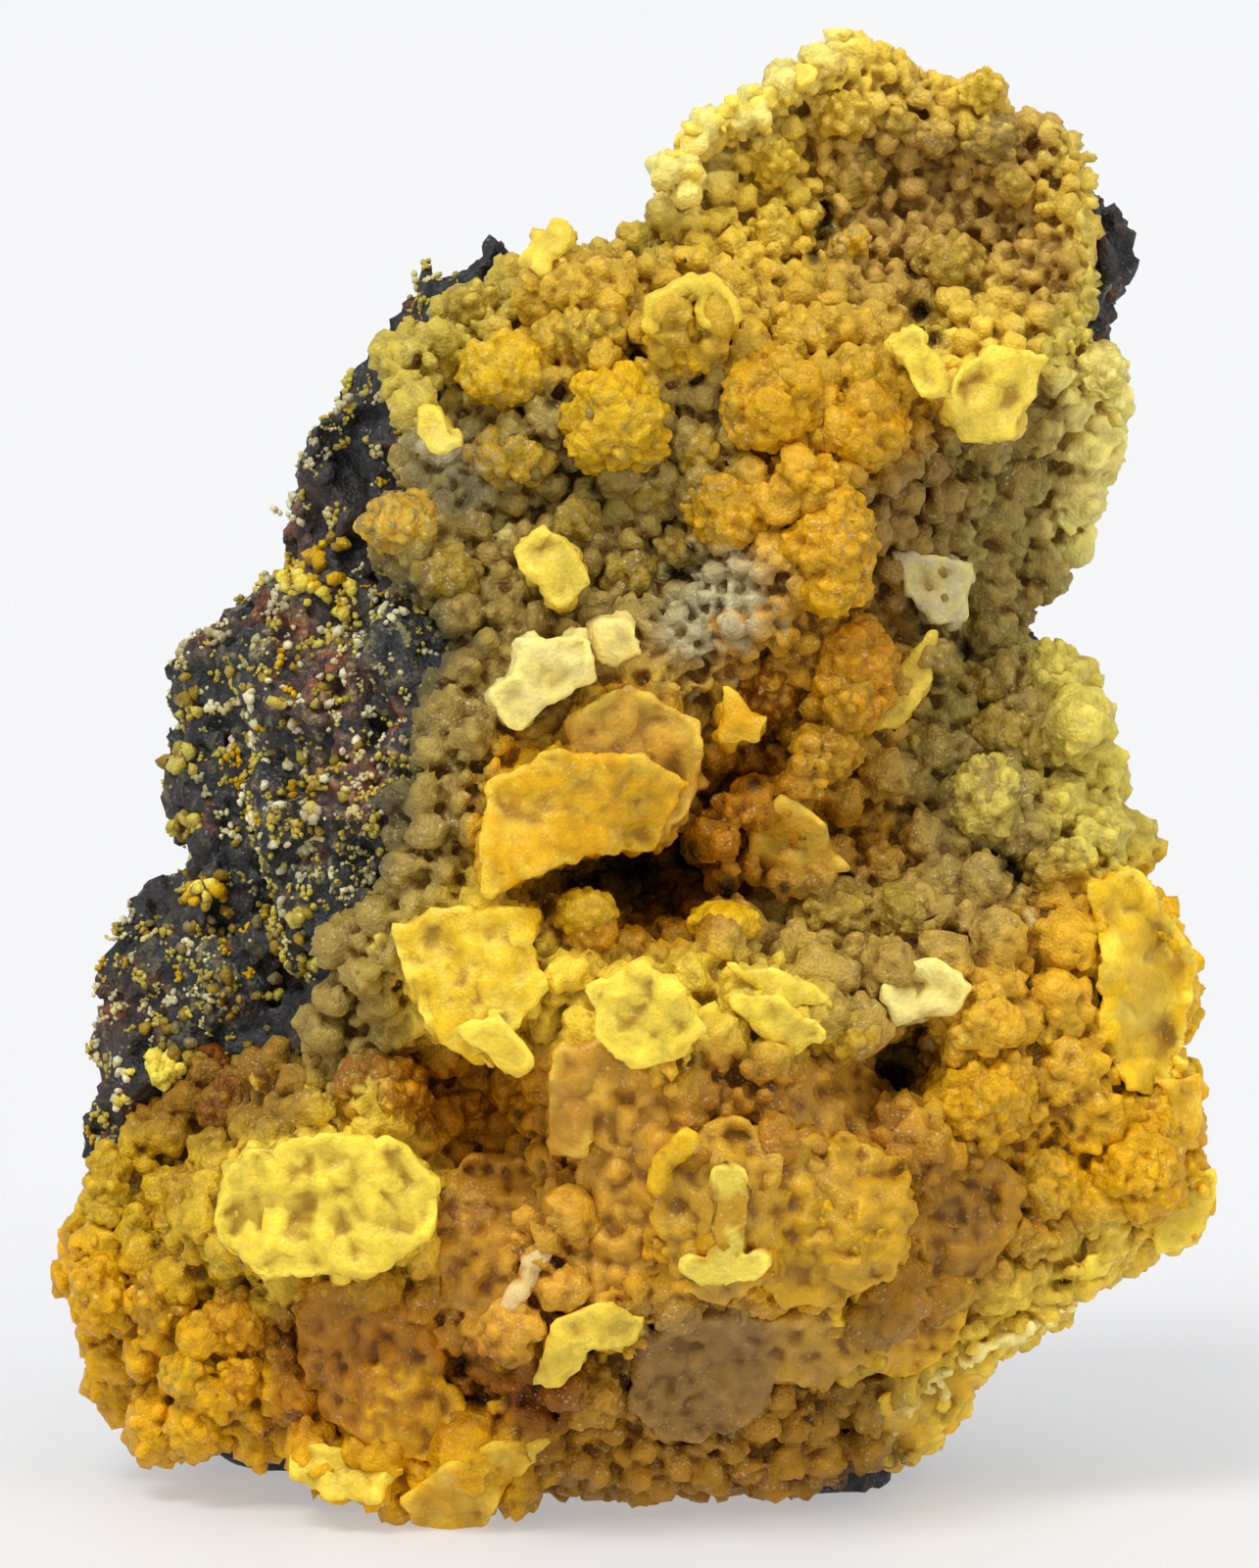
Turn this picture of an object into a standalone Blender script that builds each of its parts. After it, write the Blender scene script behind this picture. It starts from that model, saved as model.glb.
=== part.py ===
"""Botryoidal mimetite: a yellow crust of grape-like balls, shells and lips on a dark iron-oxide rock.

The specimen stands on its broken foot. X runs to the right of its best face, Y runs away
from the viewer, Z is up, and the origin is under the middle of the object, at the height
of the foot. The best face was designed as it is seen from in front, so a place on it is
written as (across, down) in the pixels of that front view, with a depth in millimetres
behind the middle plane. `seen` turns such a place into metres. Sizes are in millimetres.
"""

import math
import random

import bmesh
import bpy
import numpy as np
from mathutils import Matrix, Vector, noise

MM = 0.001

# The front view: how far away the eye is, how steeply it looks down and what a pixel is worth.
VIEW_DISTANCE = 0.450
LOOK_DOWN = math.radians(6.0)
PIXELS_PER_METRE = 16800.0
VIEW_MIDDLE = (642.5, 800.0)
AIM_HEIGHT = 0.0436

# How far the finished solids move along Y, so that the origin is under the middle of the object.
MIDDLE_PLANE = -3.67 * MM

GAP = 0.35 * MM
COAT = 2.4
BED_DEPTH = 4.4
ROCK_GRAIN = 1.1 * MM
CRUST_GRAIN = 0.65 * MM
ROCK_TRIANGLES = 1850
CRUST_TRIANGLES = 7450

ROCK_COLOUR = (0.030, 0.030, 0.036)
CRUST_COLOUR = (0.72, 0.42, 0.045)

# The dark rock, as blocks with hand-placed corners: (across, down, depth).
ROCK_BLOCKS = {
    "top_block": [
        (712, 200, 12), (755, 135, 13), (862, 72, 13), (950, 105, 13), (1060, 148, 12),
        (1120, 180, 6), (1146, 250, 6), (1112, 420, 9), (1050, 600, 12), (820, 480, 12),
        (712, 200, 20), (862, 78, 20), (1060, 155, 21), (1148, 240, 19), (1112, 430, 22),
        (1034, 620, 24), (760, 480, 24),
    ],
    "shoulder_block": [
        (368, 352, 2), (400, 335, 1), (450, 300, 5), (505, 256, 8), (572, 226, 9),
        (640, 250, 10), (760, 330, 8), (940, 620, 9), (412, 560, -4), (345, 435, 3),
        (300, 505, 4), (262, 600, 5), (440, 640, -6), (600, 640, 2), (300, 620, 1),
        (380, 350, 16), (575, 232, 17), (760, 330, 22), (960, 660, 25), (290, 560, 19),
    ],
    "ridge_block": [
        (430, 600, -6), (415, 760, -12), (395, 900, -14), (345, 1010, -12), (322, 1110, -10),
        (262, 600, 2), (250, 720, -3), (262, 870, -6), (600, 640, 2), (640, 900, 6),
        (400, 1120, 2), (300, 880, 4), (240, 640, 12), (640, 1100, 12),
    ],
    "left_step_block": [
        (262, 600, 5), (228, 642, 6), (192, 665, 5), (186, 760, 4), (178, 840, 5),
        (200, 900, 4), (300, 900, 2), (330, 640, 3), (200, 680, 16), (185, 830, 18),
        (420, 640, 22), (420, 900, 22),
    ],
    "left_wall_block": [
        (184, 845, 8), (152, 895, 5), (150, 960, 3), (126, 1012, 4), (116, 1080, 4),
        (96, 1150, 2), (150, 1120, -1), (240, 900, 3), (300, 1100, 8), (330, 900, 8),
        (134, 1000, 17), (104, 1150, 18), (200, 860, 20), (420, 900, 23), (420, 1150, 24),
    ],
    "heart_block": [
        (330, 560, 6), (760, 420, 9), (1040, 560, 11), (1060, 700, 10), (330, 900, 6),
        (1000, 1000, 8), (360, 560, 22), (760, 420, 24), (1040, 560, 22), (1050, 760, 22),
        (360, 960, 24), (900, 1000, 26),
    ],
    "middle_block": [
        (330, 900, 8), (940, 620, 10), (1050, 700, 9), (1110, 800, 9), (1150, 930, 6),
        (1160, 1120, 4), (1120, 1250, 3), (330, 1150, 6), (640, 1250, 0), (640, 900, 8),
        (330, 900, 23), (800, 640, 25), (1050, 700, 22), (1150, 960, 18), (1120, 1240, 16),
        (420, 1300, 25), (800, 1300, 26),
    ],
    "lower_block": [
        (92, 1150, 4), (84, 1240, 3), (90, 1300, 4), (140, 1370, 5), (176, 1410, 6),
        (260, 1410, 4), (330, 1180, 5), (370, 1450, 2), (640, 1250, -2), (1030, 1240, 0),
        (990, 1340, 2), (900, 1440, 1), (330, 1590, 6), (780, 1600, 4),
        (100, 1200, 18), (120, 1360, 16), (300, 1500, 16), (420, 1640, 14), (860, 1620, 15),
        (940, 1400, 20), (1030, 1240, 22), (420, 1300, 25), (800, 1300, 26),
    ],
    "foot_block": [
        (790, 1480, -1), (905, 1470, 0), (800, 1600, -4.5), (885, 1600, -4), (800, 1460, 10), (890, 1480, 10),
        (800, 1620, 12), (890, 1620, 12),
    ],
    "left_hollow_block": [
        (120, 960, 7), (200, 880, 4), (300, 900, 0), (330, 1080, -3), (120, 1140, 4), (240, 1120, 0),
        (140, 960, 14), (330, 900, 14), (330, 1150, 14), (120, 1150, 14),
    ],
    "back_boss": [
        (430, 700, 22), (700, 640, 22), (860, 880, 23), (640, 1140, 23), (430, 1010, 22),
        (520, 780, 29), (680, 750, 28), (760, 930, 29), (610, 1040, 29),
    ],
    "back_rib": [
        (820, 420, 20), (1000, 400, 19), (1040, 640, 20), (900, 760, 22),
        (880, 470, 25.5), (970, 480, 25), (980, 640, 26), (920, 690, 26),
    ],
}

# Pieces broken out of the back of the rock, as blocks that leave flat faces and ledges.
ROCK_BREAKS = {
    "behind_top": [
        (560, -60, 60), (1300, -60, 60), (560, 430, 60), (1300, 430, 60),
        (560, -60, 14), (1300, -60, 13), (600, 430, 25), (1300, 430, 17),
    ],
    "behind_shoulder": [
        (150, 200, 60), (700, 200, 60), (150, 560, 60), (560, 640, 60),
        (150, 200, 8), (680, 190, 15), (220, 560, 15), (540, 640, 24),
    ],
    "behind_left_step": [
        (40, 620, 60), (420, 620, 60), (40, 1040, 60), (430, 1010, 60),
        (40, 620, 9), (400, 640, 21), (40, 1040, 11), (420, 990, 22),
    ],
    "behind_left_wall": [
        (0, 1000, 60), (330, 1000, 60), (0, 1330, 60), (300, 1300, 60),
        (0, 1000, 12), (320, 1010, 23), (0, 1330, 11), (280, 1290, 20),
    ],
    "behind_right": [
        (980, 700, 60), (1340, 640, 60), (960, 1080, 60), (1340, 1160, 60),
        (990, 720, 22), (1340, 640, 8), (970, 1060, 23), (1340, 1160, 7),
    ],
    "behind_right_low": [
        (900, 1100, 60), (1340, 1120, 60), (840, 1480, 60), (1340, 1480, 60),
        (930, 1120, 23), (1340, 1120, 10), (860, 1480, 17), (1340, 1480, 2),
    ],
    "behind_foot": [
        (-40, 1300, 60), (1340, 1340, 60), (-40, 1760, 60), (1340, 1760, 60),
        (-40, 1300, 20), (560, 1290, 27), (1340, 1340, 24), (-40, 1760, 5), (560, 1760, 9), (1340, 1760, 6),
    ],
    "cleft": [
        (300, 1130, 60), (330, 1080, 60), (880, 1230, 60), (870, 1160, 60),
        (360, 1120, 21), (860, 1200, 22),
    ],
}

# Where the crust lies on the rock, seen from the front: (across, down).
CRUST_OUTLINE = [
    (870, 36), (930, 62), (965, 82), (1020, 102), (1080, 132), (1100, 170), (1112, 215), (1118, 300),
    (1116, 360), (1140, 385), (1140, 410), (1126, 430), (1112, 480), (1100, 530), (1085, 552), (1066, 570),
    (1050, 620), (1030, 650), (1060, 662), (1086, 662), (1090, 705), (1118, 750), (1128, 800), (1142, 862),
    (1175, 915), (1192, 955), (1212, 985), (1208, 1020), (1196, 1060), (1214, 1100), (1212, 1150), (1230, 1195),
    (1224, 1240), (1210, 1262), (1180, 1262), (1160, 1248), (1134, 1282), (1074, 1332), (1030, 1352), (992, 1392),
    (940, 1472), (915, 1490), (880, 1508), (800, 1516), (700, 1512), (530, 1512), (480, 1540), (415, 1538),
    (345, 1508), (312, 1492), (290, 1452), (262, 1448), (240, 1475), (215, 1485), (170, 1472), (134, 1430),
    (124, 1390), (90, 1340), (62, 1308), (62, 1272), (85, 1232), (104, 1184), (130, 1160), (180, 1110),
    (240, 1090), (300, 1100), (318, 1040), (326, 960), (392, 905), (404, 830), (412, 760), (424, 700),
    (462, 660), (452, 600), (372, 570), (380, 520), (405, 470), (412, 400), (402, 345), (440, 322),
    (490, 287), (570, 246), (600, 240), (640, 232), (678, 215), (680, 182), (706, 146), (740, 112),
    (792, 100), (836, 62),
]

# Hills and hollows of the crust's bed, blended in between: (across, down, depth).
CRUST_LEVELS = [
    # the hollow under the peak, and its rim
    (870, 40, 9), (960, 88, 9), (1080, 140, 8), (1105, 210, 6), (1110, 300, 5), (1060, 360, 2.5),
    (740, 120, 6), (690, 190, 5), (730, 240, 4), (800, 180, 7), (870, 130, 8.5), (950, 200, 10),
    (1030, 240, 9), (900, 295, 5), (985, 320, 4.5),
    # the upper slab
    (500, 300, 1.5), (570, 255, 4), (600, 310, -2.5), (670, 270, 0), (705, 335, -4.5), (440, 345, 1.5),
    (470, 400, -3), (530, 420, -4), (600, 390, -5), (700, 400, -4.5), (820, 330, -2.5), (860, 400, -5.5),
    (800, 470, -6), (700, 470, -4), (610, 490, -4), (420, 500, -5), (460, 565, -7.5), (540, 550, -6),
    (630, 560, -5), (720, 530, -5), (850, 520, -8), (850, 600, -8.5), (915, 540, -3), (940, 440, -3.5),
    (1000, 390, -1), (1000, 500, 3), (1050, 540, 7), (1080, 440, 6), (1130, 390, 7), (960, 610, 3),
    # the ridge, the great shell and the hollow under it
    (430, 640, -9), (440, 760, -13), (425, 880, -15), (350, 1000, -13), (340, 1100, -10), (520, 640, -10),
    (620, 650, -11), (740, 620, -10), (560, 740, -13), (660, 750, -12), (510, 860, -14), (610, 850, -11),
    (600, 905, 2), (690, 900, 3), (770, 880, 1), (740, 770, -5), (780, 700, -7), (860, 680, -8),
    (850, 770, -6.5), (820, 840, -5), (900, 860, -2.5), (940, 720, 0), (1020, 690, 3), (1080, 680, 4),
    (960, 800, -1.5), (1030, 830, -3), (1110, 780, 2), (1140, 880, 2),
    # the shelf across the middle
    (430, 960, -15.5), (520, 1000, -17), (600, 960, -14.5), (660, 1030, -18), (720, 960, -11),
    (800, 1020, -14.5), (850, 950, -8), (940, 930, -7), (940, 1010, -10), (880, 1045, -12.5),
    (1000, 1050, -10), (1000, 1140, -10.5), (1060, 920, -4.5), (1160, 940, -4), (1200, 1000, -1.5),
    (1130, 1030, -6.5), (1200, 1110, -3), (915, 1098, 1),
    # below the shelf
    (490, 1115, -4), (520, 1160, -7), (600, 1130, -17.5), (700, 1150, -18.5), (720, 1230, -21),
    (810, 1210, -18.5), (870, 1250, -18.5), (910, 1160, -12.5), (980, 1200, -9), (1060, 1210, -8),
    (1160, 1200, -8), (1215, 1230, -5), (1130, 1270, -6.5), (1020, 1320, -8.5), (940, 1320, -11),
    (1000, 1385, -6), (930, 1450, -6.5), (860, 1400, -11), (860, 1490, -7), (720, 1500, -9.5),
    (600, 1500, -11), (480, 1520, -12), (350, 1505, -11), (720, 1400, -14.5), (600, 1440, -13),
    (500, 1400, -13.5), (580, 1330, -17.5), (680, 1300, -18.5), (520, 1250, -14.5), (440, 1300, -13),
    (390, 1230, -16), (300, 1220, -14.5), (240, 1250, -12), (270, 1310, -8), (380, 1360, -13),
    (400, 1440, -12), (310, 1430, -8.5), (220, 1440, -6), (170, 1350, -5), (110, 1300, -4),
    (145, 1430, -2.5), (75, 1285, -0.5), (110, 1200, -1), (190, 1130, 0), (200, 1220, -3), (290, 1130, -6),
]

# Where the crust wraps round the sides of the rock, as rows of balls going back from its edge:
# ball radius, then a line of (across, down, first depth, last depth).
SKIRTS = {
    "top_rim": (1.5, [(716, 172, 5, 8), (760, 140, 5, 10), (830, 96, 6, 12), (868, 62, 7, 13), (912, 82, 8, 12),
                      (960, 108, 8, 11), (1020, 132, 8, 11), (1062, 154, 8, 10)]),
    "lobe_edge": (1.3, [(1090, 210, 6, 8), (1096, 300, 5, 9), (1090, 352, 4, 10)]),
    "right_wall": (1.9, [(1114, 398, 5, 11), (1104, 440, 6, 16), (1090, 500, 7, 17), (1066, 546, 8, 15),
                         (1038, 600, 6, 12), (1022, 640, 5, 9)]),
    "right_steps": (1.9, [(1064, 690, 4, 11), (1090, 736, 3, 14), (1104, 800, 3, 13), (1120, 866, 3, 12),
                          (1152, 920, 1, 10)]),
    "lip_side": (2.0, [(1172, 950, 0, 10), (1190, 1000, 0, 11), (1178, 1062, 0, 9), (1186, 1110, -2, 8),
                       (1192, 1160, -3, 10), (1196, 1216, -4, 7)]),
    "apron_side": (1.8, [(1140, 1250, -4, 6), (1080, 1300, -5, 4), (1030, 1330, -5, 3), (976, 1384, -5, 5),
                         (930, 1450, -5, 4), (880, 1484, -5, 2)]),
    "foot_underside": (1.6, [(780, 1492, -7, 0), (660, 1496, -9, 0), (540, 1496, -10, 0), (440, 1510, -11, -2),
                             (360, 1488, -10, -1)]),
    "left_corner": (1.6, [(134, 1186, 1, 3), (104, 1240, 1, 6), (88, 1292, 1, 8), (118, 1344, 0, 7),
                          (146, 1402, 0, 8), (180, 1450, -2, 6), (240, 1440, -4, 4), (300, 1460, -6, 3)]),
}

# Balls that carry smaller balls, like cauliflower: the same six numbers, then the small ball's radius.
HEADS = {
    "bowl_head_1": (790, 165, 4.2, 1.5, 1.4, 1.5, 0.84),
    "bowl_head_2": (872, 180, 6.4, 1.8, 1.6, 1.7, 0.96),
    "bowl_head_3": (915, 125, 6.6, 1.3, 1.2, 1.2, 0.72),
    "bowl_head_4": (955, 142, 6.4, 1.2, 1.2, 1.2, 0.72),
    "bowl_head_5": (1003, 92, 6.4, 1.6, 1.6, 1.3, 0.84),
    "bowl_head_6": (1035, 190, 6.2, 1.2, 1.2, 1.2, 0.72),
    "bowl_head_7": (968, 268, 4.8, 2.2, 2, 2, 1.08),
    "bowl_head_8": (1010, 140, 6.2, 2.1, 2, 1.7, 0.96),
    "bowl_head_9": (873, 246, 4, 1, 1, 1, 0.6),
    "bowl_head_10": (792, 240, 3.8, 1.8, 1.6, 1.7, 0.96),
    "bowl_head_11": (862, 118, 4.8, 1.9, 1.6, 1.6, 0.96),
    "slab_patch": (590, 300, -5.8, 4.2, 3.4, 2.6, 1.2),
    "slab_lump": (600, 338, -7.4, 2.4, 2, 1.7, 0.96),
    "cup": (703, 338, -8.4, 2.9, 3, 3, 1.32),
    "pale_lump": (482, 312, -2.8, 1.7, 1.8, 1.7, 0.96),
    "left_lump": (455, 362, -4.4, 1.7, 1.8, 1.7, 0.84),
    "head_left": (515, 376, -8.6, 3, 3, 2.5, 1.08),
    "head_centre": (628, 430, -10.4, 3.4, 3.4, 3.6, 1.2),
    "head_right": (793, 412, -10.6, 3.7, 3.6, 3.3, 1.32),
    "head_right_small": (880, 440, -10, 3, 3.4, 2.5, 1.2),
    "head_step": (895, 385, -8.4, 2.8, 3, 2.2, 1.08),
    "head_brow": (845, 340, -6.4, 3.4, 3, 1.9, 1.2),
    "head_low_left": (522, 466, -8.2, 2.9, 3, 2, 1.08),
    "head_outer_left": (410, 534, -9.8, 2.6, 2.8, 2.1, 1.08),
    "olive_head_1": (455, 585, -10.4, 2.3, 2.4, 1.8, 0.96),
    "olive_head_2": (660, 505, -7.4, 1.8, 1.9, 1.8, 0.96),
    "olive_head_3": (715, 460, -7.8, 1.7, 1.8, 1.7, 0.96),
    "olive_head_4": (590, 535, -8.2, 1.6, 1.8, 1.6, 0.84),
    "olive_head_5": (640, 585, -8.2, 1.8, 1.8, 1.7, 0.96),
    "olive_head_6": (690, 560, -7.2, 1.6, 1.8, 1.6, 0.84),
    "block_left": (750, 520, -10.4, 3, 3, 2.6, 1.2),
    "block_top": (828, 492, -11.4, 2.4, 2.8, 1.7, 1.08),
    "block": (848, 560, -13, 2.9, 4, 4.2, 1.2),
    "ochre": (868, 690, -10.2, 2.9, 3.2, 4, 1.08),
    "ochre_low": (845, 765, -9.8, 2.3, 2.8, 1.9, 0.96),
    "brown_lump": (780, 700, -8.4, 2.4, 2.8, 2.8, 1.08),
    "dark_lump_1": (735, 855, -6.8, 2.4, 2.6, 2.2, 1.08),
    "wall_head_1": (1130, 384, 2, 1.4, 1.8, 1.7, 0.84),
    "wall_head_2": (1095, 740, -3.2, 1.7, 2.2, 2.1, 0.96),
    "wall_head_3": (1011, 818, -6, 2.5, 2.8, 2.9, 1.08),
    "wall_head_4": (1030, 755, -2.6, 2.6, 2.6, 2.4, 1.08),
    "wall_head_5": (1075, 685, -0.2, 1.7, 2.2, 2, 0.96),
    "wall_head_6": (930, 770, -2, 2.4, 2.4, 2.4, 1.08),
    "wall_head_7": (1010, 700, 0.6, 2.2, 2.2, 1.8, 0.96),
    "wall_head_8": (1115, 850, -2.2, 2, 2.4, 2.6, 1.08),
    "shelf_head_1": (850, 930, -10, 2.6, 2.8, 2, 1.08),
    "shelf_head_2": (925, 930, -9.6, 2.6, 2.8, 2.2, 1.08),
    "shelf_head_3": (820, 985, -11.2, 2.6, 2.6, 2.2, 1.08),
    "shelf_head_4": (885, 990, -10.4, 2.3, 2.6, 2.2, 1.08),
    "shelf_head_5": (860, 1052, -15.8, 2.6, 3, 1.9, 0.96),
    "shelf_head_6": (1075, 880, -5.4, 2.3, 2.6, 1.8, 0.96),
    "oval_1": (597, 932, -18.2, 1.9, 2.4, 1.4, 0),
    "oval_2": (738, 942, -13.8, 2.2, 2.2, 1.2, 0),
    "amber_head_1": (1000, 1040, -12.8, 3, 3.4, 2.7, 1.2),
    "amber_head_2": (1000, 1122, -13.4, 3.4, 3.6, 3.1, 1.32),
    "amber_head_3": (1075, 1030, -9.8, 2.2, 3, 3, 1.08),
    "lip_head": (1160, 1192, -10.2, 3.4, 4, 3.6, 1.32),
    "lip_head_low": (1065, 1205, -10.2, 2.6, 3, 2.4, 1.08),
    "step_head": (1045, 1260, -10.4, 2.8, 3.2, 2, 1.08),
    "hollow_head": (485, 1130, -7.8, 2.6, 2.6, 2.8, 1.08),
    "rib_head": (388, 1112, -15, 3.2, 4, 3, 1.2),
    "corner_head_1": (105, 1318, -5.8, 2.3, 2.8, 2.6, 0.96),
    "corner_head_2": (165, 1325, -7.2, 2, 2.6, 2.5, 0.96),
    "corner_head_3": (110, 1215, -3.4, 1.6, 2.4, 3.2, 0.96),
    "corner_head_4": (190, 1230, -4.4, 2.6, 3, 3, 1.08),
    "corner_head_5": (235, 1130, -3.2, 2, 2.4, 2, 0.96),
    "foot_head_1": (250, 1345, -9.6, 2.7, 3, 2.4, 1.08),
    "foot_head_2": (192, 1402, -9, 1.8, 2.2, 1.6, 0.84),
    "foot_head_3": (248, 1405, -9.6, 1.8, 2.2, 1.7, 0.84),
    "foot_head_4": (203, 1455, -8, 2.2, 2.6, 1.9, 0.96),
    "column_head_1": (350, 1330, -12.8, 3.2, 3.6, 3, 1.2),
    "column_head_2": (400, 1420, -14.2, 3.9, 4.2, 3.8, 1.32),
    "belly_head": (860, 1250, -20.2, 4.2, 5, 3.6, 1.56),
    "belly_head_low": (780, 1310, -19.8, 4.6, 5, 2, 1.44),
    "rim_head": (862, 1370, -14.2, 2.8, 3.4, 2.5, 1.08),
    "brown_ball": (602, 1420, -16.6, 2.2, 2.6, 2.4, 0.96),
}

# Broken shells and flakes: thickness, then an outline of (across, down, depth of its front).
PLATES = {
    "top_flake": (1.2, [(528, 268, -3), (548, 236, -2), (582, 232, -2), (580, 256, -4), (552, 276, -5)]),
    "ridge_flake": (1.2, [(428, 408, -8), (446, 424, -9), (468, 452, -10), (448, 462, -10), (428, 440, -9)]),
    "diamond_flake": (1.4, [(522, 560, -13), (552, 540, -13), (588, 566, -13), (597, 592, -13),
                            (572, 620, -14), (545, 592, -14)]),
    "upper_chip": (1.3, [(908, 346, -11), (936, 338, -11), (962, 372, -11), (972, 408, -11), (946, 404, -12)]),
    "hanging_shell": (1.5, [(1012, 356, -5), (1066, 366, -4), (1052, 402, -5), (1030, 446, -6),
                            (985, 450, -6), (962, 424, -6), (984, 380, -5)]),
    "torn_flake": (1.4, [(527, 655, -17), (598, 652, -16), (606, 694, -16), (560, 714, -17),
                         (532, 746, -17), (498, 708, -17), (528, 690, -17)]),
    "small_torn_flake": (1.2, [(604, 632, -15), (640, 630, -15), (652, 668, -15), (608, 672, -15)]),
    "orange_chip": (1.3, [(742, 704, -12), (778, 734, -12), (772, 752, -12), (734, 754, -12), (735, 722, -12)]),
    "great_shell_top": (2.4, [(575, 735, -15), (640, 700, -14), (712, 740, -13), (716, 800, -12),
                              (672, 862, -13), (600, 820, -16)]),
    "great_shell": (2.2, [(500, 800, -17), (560, 770, -17), (650, 770, -16), (700, 800, -14),
                          (664, 866, -14), (600, 872, -17), (545, 892, -19), (500, 916, -19), (488, 866, -19)]),
    "fan": (1.6, [(764, 850, -9), (800, 812, -10), (834, 834, -10), (862, 884, -9), (812, 898, -9), (770, 900, -7)]),
    "glassy_flake": (1.4, [(908, 560, -4), (990, 576, -3), (984, 630, -3), (955, 638, -4), (928, 606, -4)]),
    "curved_flake": (1.5, [(900, 700, -6), (958, 640, -6), (950, 690, -6), (918, 742, -6), (895, 742, -6)]),
    "band_shell": (1.8, [(402, 946, -18), (445, 930, -18), (556, 926, -17), (540, 960, -19), (556, 1010, -20),
                         (524, 1052, -21), (480, 1078, -21), (448, 1060, -20), (424, 1010, -19)]),
    "band_tip": (1.6, [(470, 1050, -22), (510, 1040, -22), (544, 1084, -22), (530, 1102, -22)]),
    "band_blob": (1.9, [(604, 1010, -22), (650, 984, -22), (690, 1004, -22), (716, 1050, -21),
                        (698, 1078, -21), (650, 1090, -22), (612, 1062, -22)]),
    "petal_top": (1.3, [(745, 986, -17), (790, 990, -17), (846, 1016, -16), (852, 1030, -16), (790, 1020, -17)]),
    "petal": (1.4, [(748, 1018, -18), (800, 1018, -18), (842, 1056, -17), (812, 1074, -17), (776, 1058, -18)]),
    "white_flake": (1.4, [(900, 1016, -13), (918, 986, -12), (952, 980, -12), (990, 1006, -12),
                          (974, 1036, -12), (910, 1046, -13)]),
    "lip": (2.2, [(1112, 905, -6), (1160, 888, -3), (1200, 950, -2), (1222, 985, -1), (1205, 1058, -2),
                  (1186, 1118, -5), (1150, 1112, -8), (1122, 1040, -8), (1128, 980, -8)]),
    "lip_low_chip": (1.6, [(1186, 1104, -6), (1224, 1100, -4), (1222, 1168, -5), (1196, 1180, -7)]),
    "corner_flake": (1.5, [(1172, 1236, -5), (1238, 1192, -4), (1236, 1240, -4), (1222, 1270, -4), (1186, 1272, -5)]),
    "left_shell": (2.4, [(224, 1206, -15), (262, 1176, -16), (330, 1158, -17), (396, 1162, -17), (448, 1206, -17),
                         (440, 1262, -18), (372, 1306, -18), (308, 1296, -17), (262, 1296, -16), (226, 1262, -15)]),
    "rib": (1.8, [(566, 1070, -20), (622, 1060, -20), (632, 1090, -20), (596, 1176, -20), (560, 1180, -19)]),
    "hook": (1.8, [(548, 1410, -18), (562, 1350, -20), (620, 1328, -20), (656, 1346, -19), (650, 1368, -19),
                   (598, 1376, -20), (572, 1420, -19)]),
    "apron_top": (1.6, [(1110, 1290, -7), (1166, 1256, -5), (1084, 1338, -5), (1008, 1392, -6), (982, 1362, -8)]),
    "apron_low": (1.6, [(900, 1424, -10), (1000, 1376, -8), (1010, 1398, -6), (972, 1440, -5), (936, 1486, -4),
                        (896, 1500, -4), (880, 1470, -8)]),
    "foot_flake": (1.8, [(302, 1478, -11), (362, 1486, -12), (408, 1500, -13), (384, 1534, -14), (340, 1526, -13),
                         (300, 1508, -12)]),
    "foot_curl": (2.6, [(412, 1530, -13), (462, 1492, -15), (510, 1476, -15), (558, 1470, -14), (512, 1522, -13),
                        (486, 1562, -10.5), (432, 1566, -10.5)]),
}

# Raised edges and fingers: radius, then a line of (across, down, depth of its front).
RIDGES = {
    "bowl_edge_left": (0.9, [(684, 196, 0.5), (700, 150, 1.5), (742, 112, 2.5), (798, 100, 3), (834, 62, 4)]),
    "bowl_edge_right": (0.8, [(1082, 132, 5), (1108, 175, 3), (1112, 250, 1), (1108, 310, 0), (1082, 346, -1),
                              (1060, 366, -3)]),
    "cup_edge": (0.7, [(664, 352, -9.5), (664, 312, -9.5), (700, 290, -9.5), (738, 292, -9.5), (752, 322, -9.5),
                       (738, 350, -9.5)]),
    "cup_handle": (0.6, [(716, 300, -9.6), (722, 326, -9.8), (742, 334, -9.6)]),
    "ridge_edge": (0.7, [(408, 350, -5), (414, 400, -7), (440, 450, -9), (470, 490, -10), (505, 520, -12),
                         (530, 556, -13)]),
    "rock_edge": (0.8, [(700, 880, -10), (760, 810, -10), (830, 800, -11)]),
    "shelf_edge": (0.7, [(980, 1000, -11), (1020, 940, -9), (1062, 898, -8)]),
    "finger": (1.3, [(744, 1204, -22.5), (746, 1240, -23), (738, 1290, -22.5)]),
    "finger_foot": (0.9, [(704, 1292, -22), (740, 1300, -22.5), (786, 1286, -21.5)]),
    "little_finger": (0.9, [(700, 1164, -22), (680, 1180, -21), (668, 1220, -20)]),
    "crystal_rod": (0.8, [(560, 1268, -20), (534, 1310, -20), (516, 1346, -19.5)]),
    "belly_edge": (0.9, [(830, 1330, -18), (880, 1352, -15), (940, 1330, -12), (985, 1300, -11)]),
    "apron_edge": (0.7, [(905, 1470, -7), (936, 1420, -8), (1000, 1374, -9), (1060, 1352, -8), (1120, 1300, -7)]),
    "left_fin": (0.9, [(318, 1120, -14), (322, 1160, -15), (330, 1190, -16)]),
    "left_edge_strip": (0.8, [(128, 1170, -1), (112, 1220, -3), (84, 1290, -3)]),
}

KNOBS_PER_HEAD = 14

# The field of small balls over the whole bed: how far apart they are (pixels) and how big (mm).
FIELD_PITCH = 52
FIELD_BALL = (1.15, 1.8)


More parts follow.
